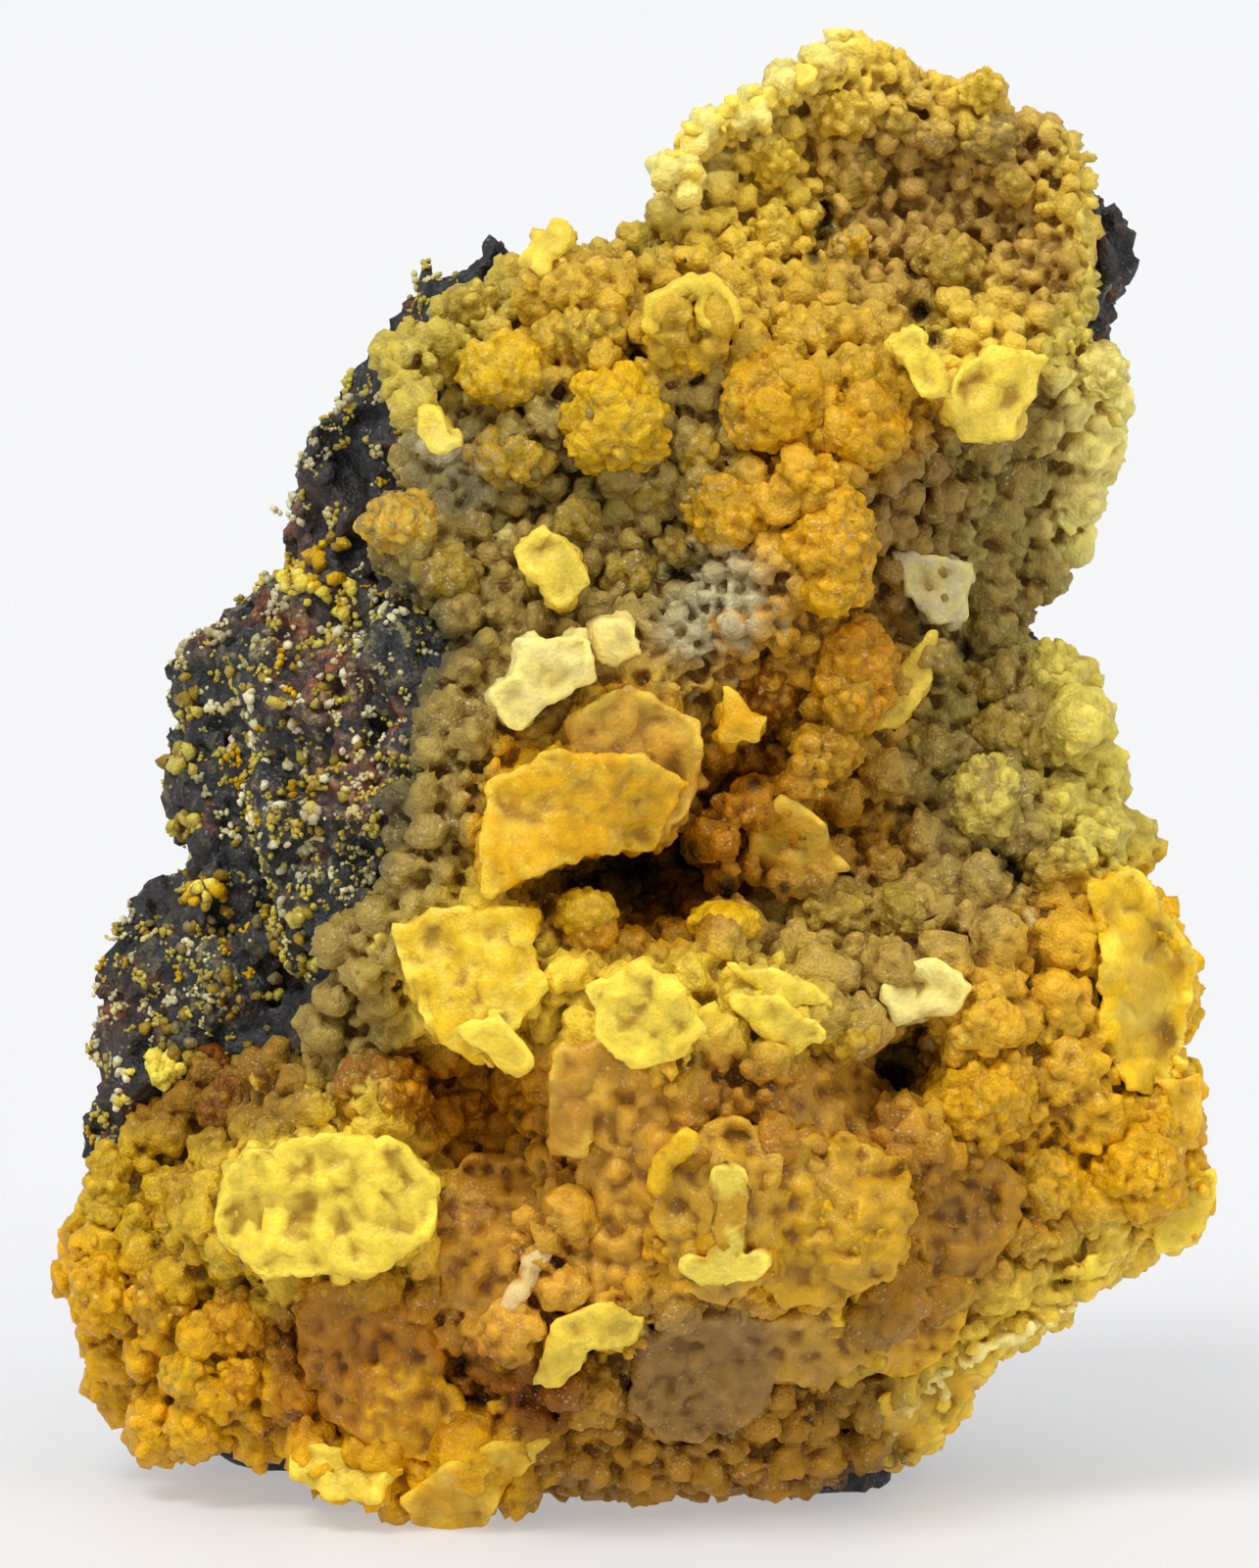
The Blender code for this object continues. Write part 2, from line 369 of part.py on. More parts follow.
class Relief:
    """A smooth surface through points (across, down, depth): the depth it gives at any (across, down)."""

    reach = 20.0

    def __init__(self, points):
        table = np.array(points, dtype=float)
        self.places = table[:, :2]
        self.middle = table[:, 2].mean()
        apart = np.linalg.norm(self.places[:, None] - self.places[None], axis=2)
        self.weights = np.linalg.solve(np.sqrt(apart ** 2 + self.reach ** 2), table[:, 2] - self.middle)

    def __call__(self, across, down):
        apart = np.linalg.norm(self.places - (across, down), axis=1)
        return float(self.middle + np.sqrt(apart ** 2 + self.reach ** 2) @ self.weights)


RIGHT = Vector((1, 0, 0))
AHEAD = Vector((0, math.cos(LOOK_DOWN), -math.sin(LOOK_DOWN)))
UP = Vector((0, math.sin(LOOK_DOWN), math.cos(LOOK_DOWN)))
EYE = Vector((0, 0, AIM_HEIGHT)) - AHEAD * VIEW_DISTANCE
PIXELS_PER_SLOPE = PIXELS_PER_METRE * VIEW_DISTANCE


def seen(across, down, depth):
    """The place in metres that the front view shows at (across, down), `depth` mm behind the middle plane."""
    ray = AHEAD + (RIGHT * (across - VIEW_MIDDLE[0]) - UP * (down - VIEW_MIDDLE[1])) / PIXELS_PER_SLOPE
    return EYE + ray * ((depth * MM - EYE.y) / ray.y)


def in_view(place):
    """Where the front view shows a place: (across, down, depth)."""
    ray = place - EYE
    scale = PIXELS_PER_SLOPE / ray.dot(AHEAD)
    return VIEW_MIDDLE[0] + ray.dot(RIGHT) * scale, VIEW_MIDDLE[1] - ray.dot(UP) * scale, place.y / MM


def clear_scene():
    for obj in list(bpy.data.objects):
        bpy.data.objects.remove(obj)


def finish(name, colour, roughness):
    """A Principled material in one colour."""
    material = bpy.data.materials.new(name)
    material.use_nodes = True
    shader = material.node_tree.nodes["Principled BSDF"]
    shader.inputs["Base Color"].default_value = (*colour, 1.0)
    shader.inputs["Roughness"].default_value = roughness
    material.diffuse_color = (*colour, 1.0)
    return material


class Shapes:
    """Closed shapes gathered in one mesh: they may overlap, and are joined later by `fuse`."""

    def __init__(self):
        self.verts = []
        self.faces = []
        self.balls = {}

    def add(self, verts, faces):
        first = len(self.verts)
        self.verts.extend(verts)
        self.faces.extend([first + i for i in face] for face in faces)

    def ball(self, centre, radii, detail=2):
        """An ellipsoid with its half sizes along X, Y and Z, in metres."""
        if detail not in self.balls:
            builder = bmesh.new()
            bmesh.ops.create_icosphere(builder, subdivisions=detail, radius=1.0)
            verts = [v.co.copy() for v in builder.verts]
            self.balls[detail] = verts, [[v.index for v in f.verts] for f in builder.faces]
            builder.free()
        verts, faces = self.balls[detail]
        self.add([centre + v * radii for v in verts], faces)

    def block(self, corners):
        """A block of rock: the convex hull of its corners."""
        builder = bmesh.new()
        points = [builder.verts.new(seen(*corner)) for corner in corners]
        hull = bmesh.ops.convex_hull(builder, input=points)
        inner = {item for item in hull["geom_interior"] + hull["geom_unused"] if isinstance(item, bmesh.types.BMVert)}
        bmesh.ops.delete(builder, geom=list(inner), context="VERTS")
        builder.verts.index_update()
        self.add([v.co.copy() for v in builder.verts], [[v.index for v in f.verts] for f in builder.faces])
        builder.free()

    def layer(self, outline, front, back, inset=0, step=22):
        """A slab over an outline of the front view, between two surfaces given as functions of the place."""
        ways = [(inset * math.cos(k * math.pi / 4), inset * math.sin(k * math.pi / 4)) for k in range(8)]
        cells = []
        for i in range(1280 // step):
            for j in range(1600 // step):
                across, down = (i + 0.5) * step, (j + 0.5) * step
                if all(inside(outline, across + a, down + d) for a, d in ways):
                    cells.append((i, j))
        corners = sorted({(i + di, j + dj) for i, j in cells for di in (0, 1) for dj in (0, 1)})
        near = {corner: k for k, corner in enumerate(corners)}
        far = {corner: k + len(corners) for k, corner in enumerate(corners)}
        verts = [front(i * step, j * step) for i, j in corners] + [back(i * step, j * step) for i, j in corners]
        taken = set(cells)
        faces = []
        for i, j in cells:
            ring = [(i, j), (i + 1, j), (i + 1, j + 1), (i, j + 1)]
            faces.append([near[k] for k in ring[::-1]])
            faces.append([far[k] for k in ring])
            for k, other in enumerate([(i, j - 1), (i + 1, j), (i, j + 1), (i - 1, j)]):
                if other not in taken:
                    start, end = ring[k], ring[(k + 1) % 4]
                    faces.append([near[start], near[end], far[end], far[start]])
        self.add(verts, faces)

    def head(self, numbers):
        """A ball covered, on its open side, with smaller balls in a sunflower pattern."""
        centre, radii = ellipsoid(*numbers[:6])
        knob = numbers[6] * MM
        self.ball(centre, radii)
        golden_turn = math.pi * (3 - math.sqrt(5))
        for i in range(KNOBS_PER_HEAD if knob else 0):
            forward = 1 - 1.25 * (i + 0.5) / KNOBS_PER_HEAD
            ring = math.sqrt(1 - forward * forward)
            turn = i * golden_turn + centre.x * 900
            way = Vector((ring * math.cos(turn), -forward, ring * math.sin(turn)))
            size = knob * (1.0 + 0.22 * math.sin(7.3 * i + centre.z * 700))
            self.ball(centre + way * radii * 0.82, Vector((size, size, size)), detail=1)

    def plate(self, thickness, outline):
        """A flake: its outline, and the same outline set back by the thickness, joined by a rim."""
        count = len(outline)
        verts = [seen(*corner) for corner in outline] + [seen(a, d, depth + thickness) for a, d, depth in outline]
        faces = [list(range(count)), list(range(2 * count - 1, count - 1, -1))]
        for i in range(count):
            j = (i + 1) % count
            faces.append([j, i, i + count, j + count])
        self.add(verts, faces)

    def ridge(self, radius, line):
        """A raised edge: balls along a line, close enough together to merge."""
        points = [seen(a, d, depth + radius) for a, d, depth in line]
        for start, end in zip(points, points[1:]):
            steps = max(2, math.ceil((end - start).length / (0.7 * radius * MM)))
            for i in range(steps + 1):
                size = radius * MM * (1 + 0.12 * math.sin(9 * i + start.x * 800))
                self.ball(start.lerp(end, i / steps), Vector((size, size, size)), detail=1)

    def skirt(self, radius, line):
        """Rows of balls that go straight back from a line along the crust's edge."""
        dice = random.Random(len(line))
        for start, end in zip(line, line[1:]):
            steps = max(1, round(math.hypot(end[0] - start[0], end[1] - start[1]) / (21 * radius)))
            for i in range(steps):
                across, down, first, last = (a + (b - a) * i / steps for a, b in zip(start, end))
                depth = first + dice.uniform(0, radius)
                while depth < last + dice.uniform(-radius, radius):
                    size = radius * dice.uniform(0.8, 1.15)
                    place = seen(across + dice.uniform(-5, 5), down + dice.uniform(-12, 12), depth)
                    self.ball(place, Vector((size, size, size)) * MM)
                    depth += 1.35 * radius

    def field(self, bed):
        """Small balls all over the bed, on an uneven grid, each sunk halfway."""
        dice = random.Random(7)
        for j in range(int(1600 / (FIELD_PITCH * 0.87))):
            for i in range(1280 // FIELD_PITCH):
                across = (i + 0.5 * (j % 2)) * FIELD_PITCH + dice.uniform(-14, 14)
                down = j * FIELD_PITCH * 0.87 + dice.uniform(-14, 14)
                size = dice.uniform(*FIELD_BALL)
                if inside(CRUST_OUTLINE, across, down):
                    self.ball(bed_place(bed, across, down, 0.35 * size), Vector((size, size, size)) * MM)

    def to_object(self, name, material=None):
        mesh = bpy.data.meshes.new(name)
        mesh.from_pydata(self.verts, [], self.faces)
        obj = bpy.data.objects.new(name, mesh)
        bpy.context.scene.collection.objects.link(obj)
        if material:
            mesh.materials.append(material)
        return obj


def inside(outline, across, down):
    """Whether a place of the front view is within an outline."""
    within = False
    for (a1, d1), (a2, d2) in zip(outline, outline[1:] + outline[:1]):
        if (d1 > down) != (d2 > down) and across < a1 + (a2 - a1) * (down - d1) / (d2 - d1):
            within = not within
    return within


def bed_place(bed, across, down, inward=0.0):
    """A place on the crust's bed, or `inward` mm behind it, square to its surface."""
    nudge = 8
    here = seen(across, down, bed(across, down))
    along = seen(across + nudge, down, bed(across + nudge, down)) - here
    below = seen(across, down + nudge, bed(across, down + nudge)) - here
    return here + along.cross(below).normalized() * inward * MM


def seat_depth(bed, across, down):
    """How far back the rock's surface lies under the crust: further where the bed is steep."""
    nudge = 10
    here = bed(across, down)
    slope = math.hypot(bed(across + nudge, down) - here, bed(across, down + nudge) - here)
    slope *= PIXELS_PER_METRE * MM / nudge
    return here + COAT * min(2.5, math.hypot(1, slope))


def ellipsoid(across, down, front, half_width, half_depth, half_height):
    """Centre and half sizes in metres of a lump whose nearest point is at depth `front`."""
    radii = Vector((half_width, half_depth, half_height)) * MM
    return seen(across, down, front + half_depth), radii


def add_modifier(obj, kind, **settings):
    modifier = obj.modifiers.new(kind.title(), kind)
    for key, value in settings.items():
        setattr(modifier, key, value)
    return modifier


def apply_modifiers(obj):
    """Replaces the object's mesh with its evaluated one."""
    graph = bpy.context.evaluated_depsgraph_get()
    mesh = bpy.data.meshes.new_from_object(obj.evaluated_get(graph))
    obj.modifiers.clear()
    obj.data = mesh


def fuse(obj, grain):
    """Joins overlapping shapes into one skin of the given grain, slightly smoothed."""
    add_modifier(obj, "REMESH", mode="VOXEL", voxel_size=grain, adaptivity=0.0)
    apply_modifiers(obj)
    keep_largest(obj)
    add_modifier(obj, "SMOOTH", factor=0.5, iterations=1)
    apply_modifiers(obj)


def thin(obj, triangles):
    """Leaves about the given number of triangles, the most where the shape bends the most."""
    add_modifier(obj, "TRIANGULATE")
    apply_modifiers(obj)
    add_modifier(obj, "DECIMATE", ratio=triangles / len(obj.data.polygons))
    apply_modifiers(obj)


def keep_largest(obj):
    """Drops loose crumbs: every shell but the one with the most points."""
    builder = bmesh.new()
    builder.from_mesh(obj.data)
    unseen = set(builder.verts)
    shells = []
    while unseen:
        stack = [unseen.pop()]
        shell = []
        while stack:
            vert = stack.pop()
            shell.append(vert)
            for edge in vert.link_edges:
                other = edge.other_vert(vert)
                if other in unseen:
                    unseen.remove(other)
                    stack.append(other)
        shells.append(shell)
    shells.sort(key=len)
    for shell in shells[:-1]:
        bmesh.ops.delete(builder, geom=shell, context="VERTS")
    builder.to_mesh(obj.data)
    builder.free()


def roughen(obj, size, strength):
    """Moves each point along its normal by a smooth noise."""
    mesh = obj.data
    moves = [v.normal * strength * noise.noise(v.co / size) for v in mesh.vertices]
    for vert, move in zip(mesh.vertices, moves):
        vert.co += move


def cut(obj, cutter):
    cutter.hide_render = True
    cutter.display_type = "WIRE"
    add_modifier(obj, "BOOLEAN", operation="DIFFERENCE", solver="EXACT", object=cutter)


def press_back(rock, bed):
    """Makes room for the crust: moves the rock's points behind the crust's seat."""
    for vert in rock.data.vertices:
        across, down, depth = in_view(vert.co)
        if inside(CRUST_OUTLINE, across, down):
            seat = seat_depth(bed, across, down)
            if depth < seat:
                vert.co = seen(across, down, seat)


def make_ground_cutter():
    """Everything under the foot: the surface that the specimen stands on is at Z = 0."""
    low, high = Vector((-0.1, -0.1, -0.04)), Vector((0.1, 0.1, 0))
    corners = [(x, y, z) for z in (low.z, high.z) for y in (low.y, high.y) for x in (low.x, high.x)]
    ground = Shapes()
    ground.add(corners, [(0, 2, 3, 1), (4, 5, 7, 6), (0, 1, 5, 4), (2, 6, 7, 3), (0, 4, 6, 2), (1, 3, 7, 5)])
    return ground.to_object("ground_cutter")


def make_matrix(bed, ground):
    """The dark rock that carries the crust, with the flat broken foot."""
    shapes = Shapes()
    for corners in ROCK_BLOCKS.values():
        shapes.block(corners)
    shapes.layer(CRUST_OUTLINE, lambda a, d: seen(a, d, seat_depth(bed, a, d)), lambda a, d: seen(a, d, 14), inset=26)
    rock = shapes.to_object("matrix", finish("iron_oxide_rock", ROCK_COLOUR, 0.75))
    add_modifier(rock, "REMESH", mode="VOXEL", voxel_size=ROCK_GRAIN, adaptivity=0.0)
    for name, corners in ROCK_BREAKS.items():
        piece = Shapes()
        piece.block(corners)
        cut(rock, piece.to_object(name))
    apply_modifiers(rock)
    press_back(rock, bed)

    fuse(rock, ROCK_GRAIN)
    roughen(rock, 6.0 * MM, 1.9 * MM)
    roughen(rock, 2.6 * MM, 1.1 * MM)
    press_back(rock, bed)
    thin(rock, ROCK_TRIANGLES)
    cut(rock, ground)
    apply_modifiers(rock)
    return rock


def make_rock_cutter(rock, name, gap):
    """The rock grown by a gap, to cut its seat in the back of the crust."""
    cutter = bpy.data.objects.new(name, rock.data.copy())
    bpy.context.scene.collection.objects.link(cutter)
    for vert, normal in [(v, v.normal.copy()) for v in cutter.data.vertices]:
        vert.co += normal * gap
    return cutter


def make_crust(bed, rock, ground):
    """The mimetite: bed, lumps, heads, shells and raised edges fused in one skin, seated on the rock."""
    shapes = Shapes()
    shapes.layer(CRUST_OUTLINE, lambda a, d: bed_place(bed, a, d), lambda a, d: bed_place(bed, a, d, BED_DEPTH))
    shapes.field(bed)
    for radius, line in SKIRTS.values():
        shapes.skirt(radius, line)
    for numbers in HEADS.values():
        shapes.head(numbers)
    for thickness, outline in PLATES.values():
        shapes.plate(thickness, outline)
    for radius, line in RIDGES.values():
        shapes.ridge(radius, line)
    crust = shapes.to_object("mimetite_crust", finish("mimetite", CRUST_COLOUR, 0.35))
    fuse(crust, CRUST_GRAIN)
    cut(crust, make_rock_cutter(rock, "rock_room", 2 * GAP))
    apply_modifiers(crust)
    fuse(crust, CRUST_GRAIN)
    thin(crust, CRUST_TRIANGLES)
    cut(crust, make_rock_cutter(rock, "rock_cutter", 0.4 * GAP))
    cut(crust, ground)
    apply_modifiers(crust)
    keep_largest(crust)
    return crust


def main():
    clear_scene()
    bed = Relief(CRUST_LEVELS)
    ground = make_ground_cutter()
    rock = make_matrix(bed, ground)
    crust = make_crust(bed, rock, ground)
    for obj in (rock, crust):
        obj.data.transform(Matrix.Translation((0, MIDDLE_PLANE, 0)))
        obj.data.shade_smooth()
        obj.data.set_sharp_from_angle(angle=math.radians(40))


main()
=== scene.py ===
# A botryoidal mimetite specimen: yellow and olive crust of small balls on a dark iron oxide rock.
# The front face is laid out in pixels (across, down) of the front view, with depths in millimetres
# behind the middle plane; everything is in metres once it has gone through seen().

import math

import bmesh
import bpy
import numpy as np
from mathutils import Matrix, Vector, noise
from mathutils.bvhtree import BVHTree
from mathutils.kdtree import KDTree


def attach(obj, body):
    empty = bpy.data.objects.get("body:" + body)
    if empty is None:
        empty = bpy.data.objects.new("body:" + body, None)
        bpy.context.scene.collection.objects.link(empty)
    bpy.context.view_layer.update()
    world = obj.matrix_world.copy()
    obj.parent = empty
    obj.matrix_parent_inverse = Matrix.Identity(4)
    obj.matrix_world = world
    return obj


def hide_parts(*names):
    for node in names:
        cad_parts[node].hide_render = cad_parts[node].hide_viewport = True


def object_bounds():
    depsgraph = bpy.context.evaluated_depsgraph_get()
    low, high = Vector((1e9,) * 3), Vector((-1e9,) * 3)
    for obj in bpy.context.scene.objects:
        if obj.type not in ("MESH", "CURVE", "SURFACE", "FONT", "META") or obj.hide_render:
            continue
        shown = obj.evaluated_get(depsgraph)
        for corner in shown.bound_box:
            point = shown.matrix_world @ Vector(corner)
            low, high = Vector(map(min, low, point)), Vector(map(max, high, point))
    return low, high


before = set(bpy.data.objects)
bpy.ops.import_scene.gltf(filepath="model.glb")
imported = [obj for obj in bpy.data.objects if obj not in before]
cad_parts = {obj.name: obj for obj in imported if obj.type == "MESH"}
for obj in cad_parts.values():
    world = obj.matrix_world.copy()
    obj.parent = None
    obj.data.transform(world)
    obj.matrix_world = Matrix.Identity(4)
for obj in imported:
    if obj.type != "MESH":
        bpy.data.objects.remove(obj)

cadBox = [[float(value) for value in corner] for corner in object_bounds()]
mm = 0.001
goldenTurn = math.pi * (3 - math.sqrt(5))    # from one point of an even spiral to the next

# the camera of the front view: metres, radians and pixels
frontView = {
    "distance": 0.450,
    "lookDown": math.radians(6.0),
    "pixelsPerMetre": 16800.0,
    "middle": (642.5, 800.0),
    "aim": (0.0, -0.00367, 0.0436),
    "size": (1285, 1600),
}

right = np.array([1.0, 0.0, 0.0])
ahead = np.array([0.0, math.cos(frontView["lookDown"]), -math.sin(frontView["lookDown"])])
up = np.array([0.0, math.sin(frontView["lookDown"]), math.cos(frontView["lookDown"])])
eye = np.array(frontView["aim"]) - ahead * frontView["distance"]
pixelsPerSlope = frontView["pixelsPerMetre"] * frontView["distance"]


# places in metres that the front view shows at (across, down), depth mm behind the middle plane
def seen(across, down, depth):
    across, down, depth = np.broadcast_arrays(*(np.asarray(part, float) for part in (across, down, depth)))
    middle = frontView["middle"]
    aside = (across[..., None] - middle[0]) * right - (down[..., None] - middle[1]) * up
    rays = ahead + aside / pixelsPerSlope
    reach = (frontView["aim"][1] + depth * mm - eye[1]) / rays[..., 1]
    return eye + rays * reach[..., None]


# the other way round: across, down and depth of places in metres
def inView(points):
    rays = points - eye
    scale = pixelsPerSlope / (rays @ ahead)
    return (frontView["middle"][0] + rays @ right * scale, frontView["middle"][1] - rays @ up * scale,
            (points[:, 1] - frontView["aim"][1]) / mm)


# which places lie within an outline of the front view
def within(outline, across, down):
    found = np.zeros(np.shape(across), bool)
    for (a1, d1), (a2, d2) in zip(outline, outline[1:] + outline[:1]):
        if d1 != d2:
            found ^= ((d1 > down) != (d2 > down)) & (across < a1 + (a2 - a1) * (down - d1) / (d2 - d1))
    return found


# distance in pixels from places to an outline
def rimDistance(outline, across, down):
    best = np.full(np.shape(across), 1e9)
    for (a1, d1), (a2, d2) in zip(outline, outline[1:] + outline[:1]):
        length = max(1e-9, (a2 - a1) ** 2 + (d2 - d1) ** 2)
        t = np.clip(((across - a1) * (a2 - a1) + (down - d1) * (d2 - d1)) / length, 0, 1)
        best = np.minimum(best, np.hypot(across - a1 - t * (a2 - a1), down - d1 - t * (d2 - d1)))
    return best


# depth between the places (across, down, depth) of a table
def layerDepth(table, across, down):
    gap = np.hypot(across[..., None] - table[:, 0], down[..., None] - table[:, 1])
    weight = 1 / (gap + 6) ** 2.5
    return (weight * table[:, 2]).sum(-1) / weight.sum(-1)


def unit(vectors):
    return vectors / np.linalg.norm(vectors, axis=1)[:, None]


# random directions, mostly square to the given ones
def sideways(ways, dice):
    aside = dice.normal(0, 1, ways.shape)
    return unit(aside - ways * (aside * ways).sum(1)[:, None] * 0.8)


# radii in metres between two in mm, mostly nearer the smaller; curve shapes the draw
def mixedSizes(smallest, biggest, curve, count, dice):
    return (smallest + (biggest - smallest) * dice.beta(*curve, count)) * mm


unitBalls = {}    # made once for each level of detail


def unitBall(detail):
    if detail not in unitBalls:
        builder = bmesh.new()
        bmesh.ops.create_icosphere(builder, subdivisions=detail, radius=1.0)
        points = np.array([vert.co for vert in builder.verts])
        faces = np.array([[vert.index for vert in face.verts] for face in builder.faces])
        builder.free()
        unitBalls[detail] = points, faces
    return unitBalls[detail]


flakeMake = {
    "step": 2.6,                 # grid that a flake is built on, pixels of the front view
    "ragged": 6.4,               # how far its rim strays, pixels
    "crown": 0.3,                # how far its middle stands out, mm
    "curl": 0.7,                 # how far its rim bends forward, mm
    "lobeSpacing": 19,           # low domes all over it: how far apart, pixels
    "lobeStray": 7,
    "lobeReach": (15, 23),
    "lobeHeight": (0.25, 0.07),  # mean and spread, mm
    "lobeFall": 0.5,
    "creaseFloor": -0.3,
    "scallops": 9,               # how far the lobes push the rim out, pixels for each mm
    "facetLean": 0.008,
    # lumps behind it that join it to the bed: how deep (mm), how far in from the rim (pixels)
    "roots": ((1.0, 6), (1.7, 7), (2.5, 8), (3.3, 8), (4.1, 8)),
    "rootSize": (0.7, 1.1),
    "kindReach": 9,              # how far its colour reaches in the skin, mm
}


# shapes gathered as arrays, to be fused in one skin
class Clay:
    def __init__(self):
        self.points, self.faces, self.count = [], [], 0
        self.centres, self.kinds, self.reaches = [], [], []     # of each ball, to colour the skin later

    def add(self, points, faces):
        self.points.append(np.asarray(points, float))
        self.faces.append(np.asarray(faces, int) + self.count)
        self.count += len(points)

    # copies of one shape: the corners of each copy, and the faces that they share
    def addCopies(self, cloud, faces):
        starts = np.arange(len(cloud))[:, None, None] * cloud.shape[1]
        self.add(cloud.reshape(-1, 3), (faces[None] + starts).reshape(-1, 3))

    def balls(self, centres, radii, kind=None, detail=2):
        centres = np.atleast_2d(centres)
        radii = np.asarray(radii, float)
        if radii.ndim == 1 and len(radii) == len(centres):
            radii = radii[:, None]
        radii = np.broadcast_to(radii, centres.shape)
        points, faces = unitBall(detail)
        self.addCopies(centres[:, None] + points[None] * radii[:, None], faces)
        self.mark(centres, kind, radii.max(1))

    def mark(self, centres, kind, reaches):
        self.centres.extend(centres)
        self.kinds.extend([kind] * len(centres))
        self.reaches.extend(np.broadcast_to(reaches, len(centres)))

    # angular grains and shards: balls with uneven corners, flattened across the way they face
    def chips(self, centres, sizes, ways, dice, kind=None, flat=0.5, lean=0.6, detail=1):
        centres, ways, count = np.atleast_2d(centres), np.atleast_2d(ways), len(centres)
        points, faces = unitBall(detail)
        facing = unit(ways + lean * dice.normal(0, 1, (count, 3)))
        aside = unit(np.cross(facing, dice.normal(0, 1, (count, 3))))
        axes = np.stack([aside, facing, np.cross(aside, facing)], 1)
        corners = points * dice.uniform(0.6, 1.15, (count, len(points), 1)) * np.array([1.0, flat, 0.72])
        cloud = centres[:, None] + np.einsum("nki,nij->nkj", corners, axes) * np.asarray(sizes)[:, None, None]
        self.addCopies(cloud, faces)
        self.mark(centres, kind, sizes)

    # smaller balls over the outer side of each ball; bump is how far they stand out, in ball radii
    def knobs(self, centres, radii, outward, share, bump, count, dice, kind=None):
        centres, radii, outward = np.atleast_2d(centres), np.asarray(radii, float), np.atleast_2d(outward)
        i = np.arange(count) + 0.5
        forward = 1 - 2 * i / count
        ring, turn = np.sqrt(1 - forward ** 2), i * goldenTurn
        ways = np.stack([ring * np.cos(turn), forward, ring * np.sin(turn)], 1)
        spin = np.linalg.qr(dice.normal(0, 1, (len(centres), 3, 3)))[0]
        ways = np.einsum("nij,kj->nki", spin, ways) + dice.normal(0, 0.07, (len(centres), count, 3))
        sizes = radii.min(1)[:, None] * share * dice.uniform(0.8, 1.4, (len(centres), count))
        places = centres[:, None] + ways * (radii[:, None] * (1 + bump) - sizes[..., None])
        outside = np.einsum("nki,ni->nk", ways, outward) > -0.25
        self.balls(places[outside], sizes[outside], kind, detail=0)

    # a flake over an outline of the front view: low lobes, a ragged rim that curls forward
    def flake(self, kind, thickness, corners, table, lobed, dice):
        make = flakeMake
        low, high = table[:, :2].min(0) - 9, table[:, :2].max(0) + 9
        shift = dice.uniform(0, 50)
        lines = [np.arange(start, end, make["step"]) for start, end in zip(low, high)]
        across, down = np.meshgrid(*lines, indexing="ij")
        flat = np.stack([across.ravel(), down.ravel()], 1)
        waves = [np.array([noise.noise(Vector((a / size + shift, d / size, size))) for a, d in flat])
                 .reshape(across.shape) for size in (34, 13, 5)]
        edge = rimDistance(corners, across, down)
        teeth = waves[0] + 0.9 * np.abs(waves[1]) + 0.7 * np.abs(waves[2]) - 0.25
        signed = np.where(within(corners, across, down), edge, -edge) + make["ragged"] * teeth
        depth = layerDepth(table, across, down)
        # lobes: low domes with creases between them, which also scallop the rim
        lines = [np.arange(start, end, make["lobeSpacing"]) for start, end in zip(low, high)]
        seeds = np.stack(np.meshgrid(*lines), -1).reshape(-1, 2)
        many = len(seeds)
        seeds = seeds + dice.uniform(-make["lobeStray"], make["lobeStray"], (many, 2))
        levels, reach = dice.normal(*make["lobeHeight"], many), dice.uniform(*make["lobeReach"], many)
        away = np.hypot(across[..., None] - seeds[:, 0], down[..., None] - seeds[:, 1])
        domes = (levels - make["lobeFall"] * (away / reach) ** 2).max(-1)
        lobes = lobed * np.clip(domes, make["creaseFloor"], 1)
        signed = signed + make["scallops"] * lobes
        inside = np.maximum(signed, 0)
        rise = 1 - np.exp(-inside / 10)
        leans = dice.normal(0, make["facetLean"], (many, 2))
        cell = away.argmin(-1)
        facets = (across - seeds[cell, 0]) * leans[cell, 0] + (down - seeds[cell, 1]) * leans[cell, 1]
        front = depth - make["crown"] * rise - lobes * rise + 0.6 * waves[0] + 0.12 * waves[1] * rise
        front += np.clip(facets, -0.5, 0.5) * rise
        front -= make["curl"] * np.exp(-inside / 8) * (0.5 + 1.6 * waves[0])
        back = np.maximum(front + 0.5 * thickness, depth + thickness * (0.25 + 0.75 * rise))
        taken = (signed[:-1, :-1] + signed[1:, 1:] + signed[1:, :-1] + signed[:-1, 1:]) > 0
        self.slab(across, down, front, back, taken)
        for deeper, margin in make["roots"]:
            inner = np.argwhere(signed > margin)
            if not len(inner):
                break
            i, j = inner[dice.integers(0, len(inner), max(5, len(inner) // 34))].T
            stray = dice.uniform(-4, 4, (2, len(i)))
            depths = back[i, j] + deeper + dice.uniform(-0.2, 0.5, len(i))
            middle = seen(across[i, j] + stray[0], down[i, j] + stray[1], depths)
            sizes = dice.uniform(*make["rootSize"], len(i)) * mm
            self.chips(middle, sizes, np.tile(-ahead, (len(i), 1)), dice, kind, flat=0.9, detail=2)
        # thin and broken places are paler, but not on the sheets
        pale = (waves[0] + 0.6 * waves[1] > 0.12) | ((signed < 4) & (waves[0] > -0.1))
        for zone, words in ((pale, kind + (" lemon" if lobed < 1 else "")), (~pale, kind)):
            zone = zone & (signed > 0)
            self.mark(seen(across[zone], down[zone], front[zone])[::5], words, make["kindReach"] * mm)

